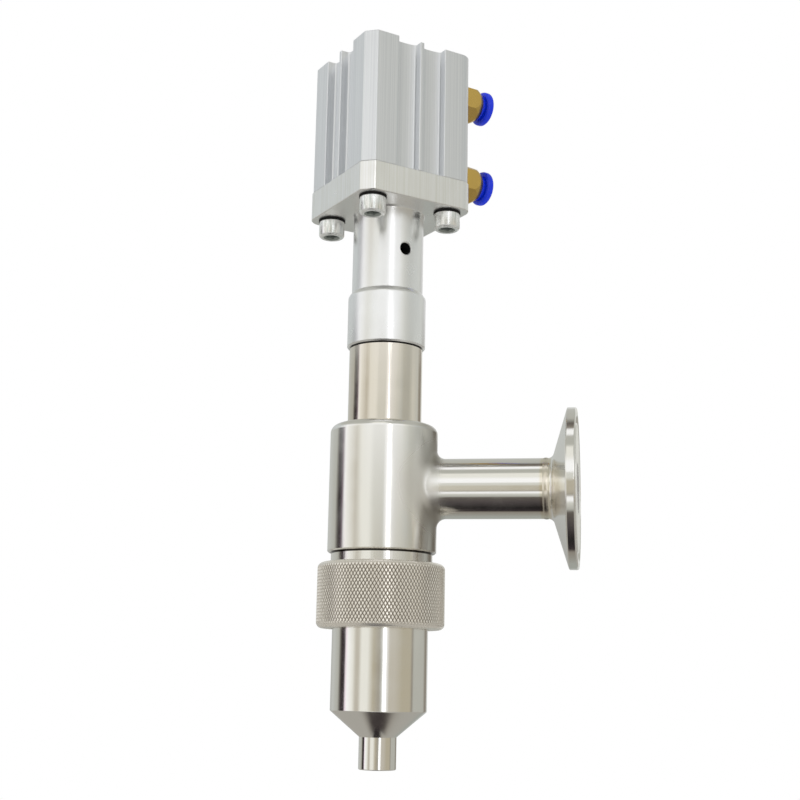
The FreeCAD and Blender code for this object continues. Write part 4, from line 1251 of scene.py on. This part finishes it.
# %% The world
def make_room():
    """White for the camera, the room for shiny surfaces, even light for matt ones."""
    world = bpy.data.worlds.new("studio")
    bpy.context.scene.world = world
    world.use_nodes = True
    tree = world.node_tree
    tree.nodes.clear()
    way = add(tree, "TexCoord").outputs["Generated"]
    turned = add(tree, "VectorRotate", {"Vector": way, "Angle": -FRONT}, rotation_type="Z_AXIS")
    part = add(tree, "SeparateXYZ", {0: turned.outputs[0]}).outputs
    steep = ramp(tree, away_from(tree, part["Z"], WALL_MIDDLE), *WALL_REACH, unit=1)
    room = add(tree, "MixRGB", {"Fac": steep, "Color1": walls(tree, part),
                                "Color2": ceiling_and_floor(tree, way, part)}).outputs["Color"]
    shine = add(tree, "Background", {"Color": room, "Strength": 1.0})
    light = add(tree, "Background", {"Color": linear(PAPER), "Strength": 0.8})
    white = add(tree, "Background", {"Color": linear(PAPER), "Strength": 1.0})
    ray = add(tree, "LightPath").outputs
    lit = add(tree, "MixShader", {0: ray["Is Glossy Ray"], 1: light.outputs[0],
                                  2: shine.outputs[0]})
    direct = add(tree, "Math", {0: ray["Is Camera Ray"], 1: ray["Is Transmission Ray"]},
                 operation="MAXIMUM")
    seen = add(tree, "MixShader", {0: direct.outputs[0], 1: lit.outputs[0], 2: white.outputs[0]})
    add(tree, "OutputWorld", {"Surface": seen.outputs[0]})
    return world


print("the room:", make_room().name)

# %% [markdown]
# ## Floor
#
# The part hangs over a pale floor, far enough down that the photograph doesn't show it. Towards its
# rim the floor glows as white as the room, so that no edge of it is seen.

# %% Floor
FLOOR_DROP, FLOOR_SIZE = 0.12, 1.6
FADE_BEGINS, FADE_ENDS = 0.2 * FLOOR_SIZE, 0.48 * FLOOR_SIZE


def make_floor():
    """A pale floor below the part, which melts into the white room at its rim."""
    bpy.ops.mesh.primitive_plane_add(size=FLOOR_SIZE, location=(0, 0, -FLOOR_DROP))
    floor = bpy.context.object
    floor.name = "floor"
    material, tree = new_material("pale_floor")
    place = add(tree, "TexCoord").outputs["Object"]
    reach = add(tree, "VectorMath", {0: place}, operation="LENGTH").outputs["Value"]
    fade = add(tree, "MapRange", {"Value": reach, "From Min": FADE_BEGINS,
                                  "From Max": FADE_ENDS})
    paper = add(tree, "BsdfDiffuse", {"Color": linear("#F4F4F2")})
    glow = add(tree, "Emission", {"Color": linear(PAPER), "Strength": 1.0})
    both = add(tree, "MixShader", {0: fade.outputs["Result"], 1: paper.outputs[0],
                                   2: glow.outputs[0]})
    add(tree, "OutputMaterial", {"Surface": both.outputs[0]})
    floor.data.materials.append(material)
    floor.visible_glossy = False


make_floor()
print("floor:", FLOOR_SIZE, "m wide,", FLOOR_DROP, "m below the lip")

# %% [markdown]
# ## Lamps
#
# A large soft lamp at the left gives the round pieces a little direction. It doesn't show in their
# shine. The narrow strip lamp at the front does: it is what the knurl mirrors as a bright stripe.

# %% Lamps
PART_MIDDLE = Vector((0.02, 0, 0.12))


def soft_lamp(name, place, width, height, power, mirrored=False):
    """A flat lamp that points at the middle of the part, and may show in its shine."""
    lamp = bpy.data.lights.new(name, "AREA")
    lamp.shape = "RECTANGLE"
    lamp.size = width
    lamp.size_y = height
    lamp.energy = power
    thing = bpy.data.objects.new(name, lamp)
    thing.location = place
    thing.rotation_euler = (PART_MIDDLE - Vector(place)).to_track_quat("-Z", "Y").to_euler()
    thing.visible_glossy = mirrored
    thing.visible_camera = False
    bpy.context.scene.collection.objects.link(thing)


soft_lamp("left_lamp", (-0.7, -0.7, 0.6), width=0.5, height=0.5, power=4.0)
soft_lamp("strip_lamp", (0.31, -0.74, 0.1), width=0.09, height=0.8, power=0.26, mirrored=True)
print("lamps:", len(bpy.data.lights))

# %% [markdown]
# ## Camera
#
# The photograph was taken from a little below the part, with a long lens, from its right. The lens
# and place were found by matching the part's own sizes to the photograph.

# %% Camera
FOCAL_PIXELS, IMAGE_WIDTH = 1317.3, 800
CAMERA_PLACE = Vector((76.20, -410.04, 27.24)) * MM
PITCH, ROLL, YAW = math.radians(11.954), math.radians(1.094), math.radians(-9.860)


def make_camera():
    """The photograph's camera, with the principal point in the middle of the picture."""
    lens = bpy.data.cameras.new("camera")
    lens.sensor_width = 36.0
    lens.lens = FOCAL_PIXELS / IMAGE_WIDTH * lens.sensor_width
    lens.clip_start = 0.01
    camera = bpy.data.objects.new("camera", lens)
    bpy.context.scene.collection.objects.link(camera)
    level_way = Vector((math.sin(YAW), math.cos(YAW), 0))
    forward = level_way * math.cos(PITCH) + Vector((0, 0, math.sin(PITCH)))
    right = Vector((math.cos(YAW), -math.sin(YAW), 0))
    up = right.cross(forward)
    level = math.cos(ROLL) * right + math.sin(ROLL) * up
    top = -math.sin(ROLL) * right + math.cos(ROLL) * up
    turn = Matrix((level, top, -forward)).transposed()
    camera.matrix_world = Matrix.Translation(CAMERA_PLACE) @ turn.to_4x4()
    bpy.context.scene.camera = camera
    return lens


bpy.context.scene.view_settings.view_transform = "Standard"
print("lens:", round(make_camera().lens, 1), "mm")
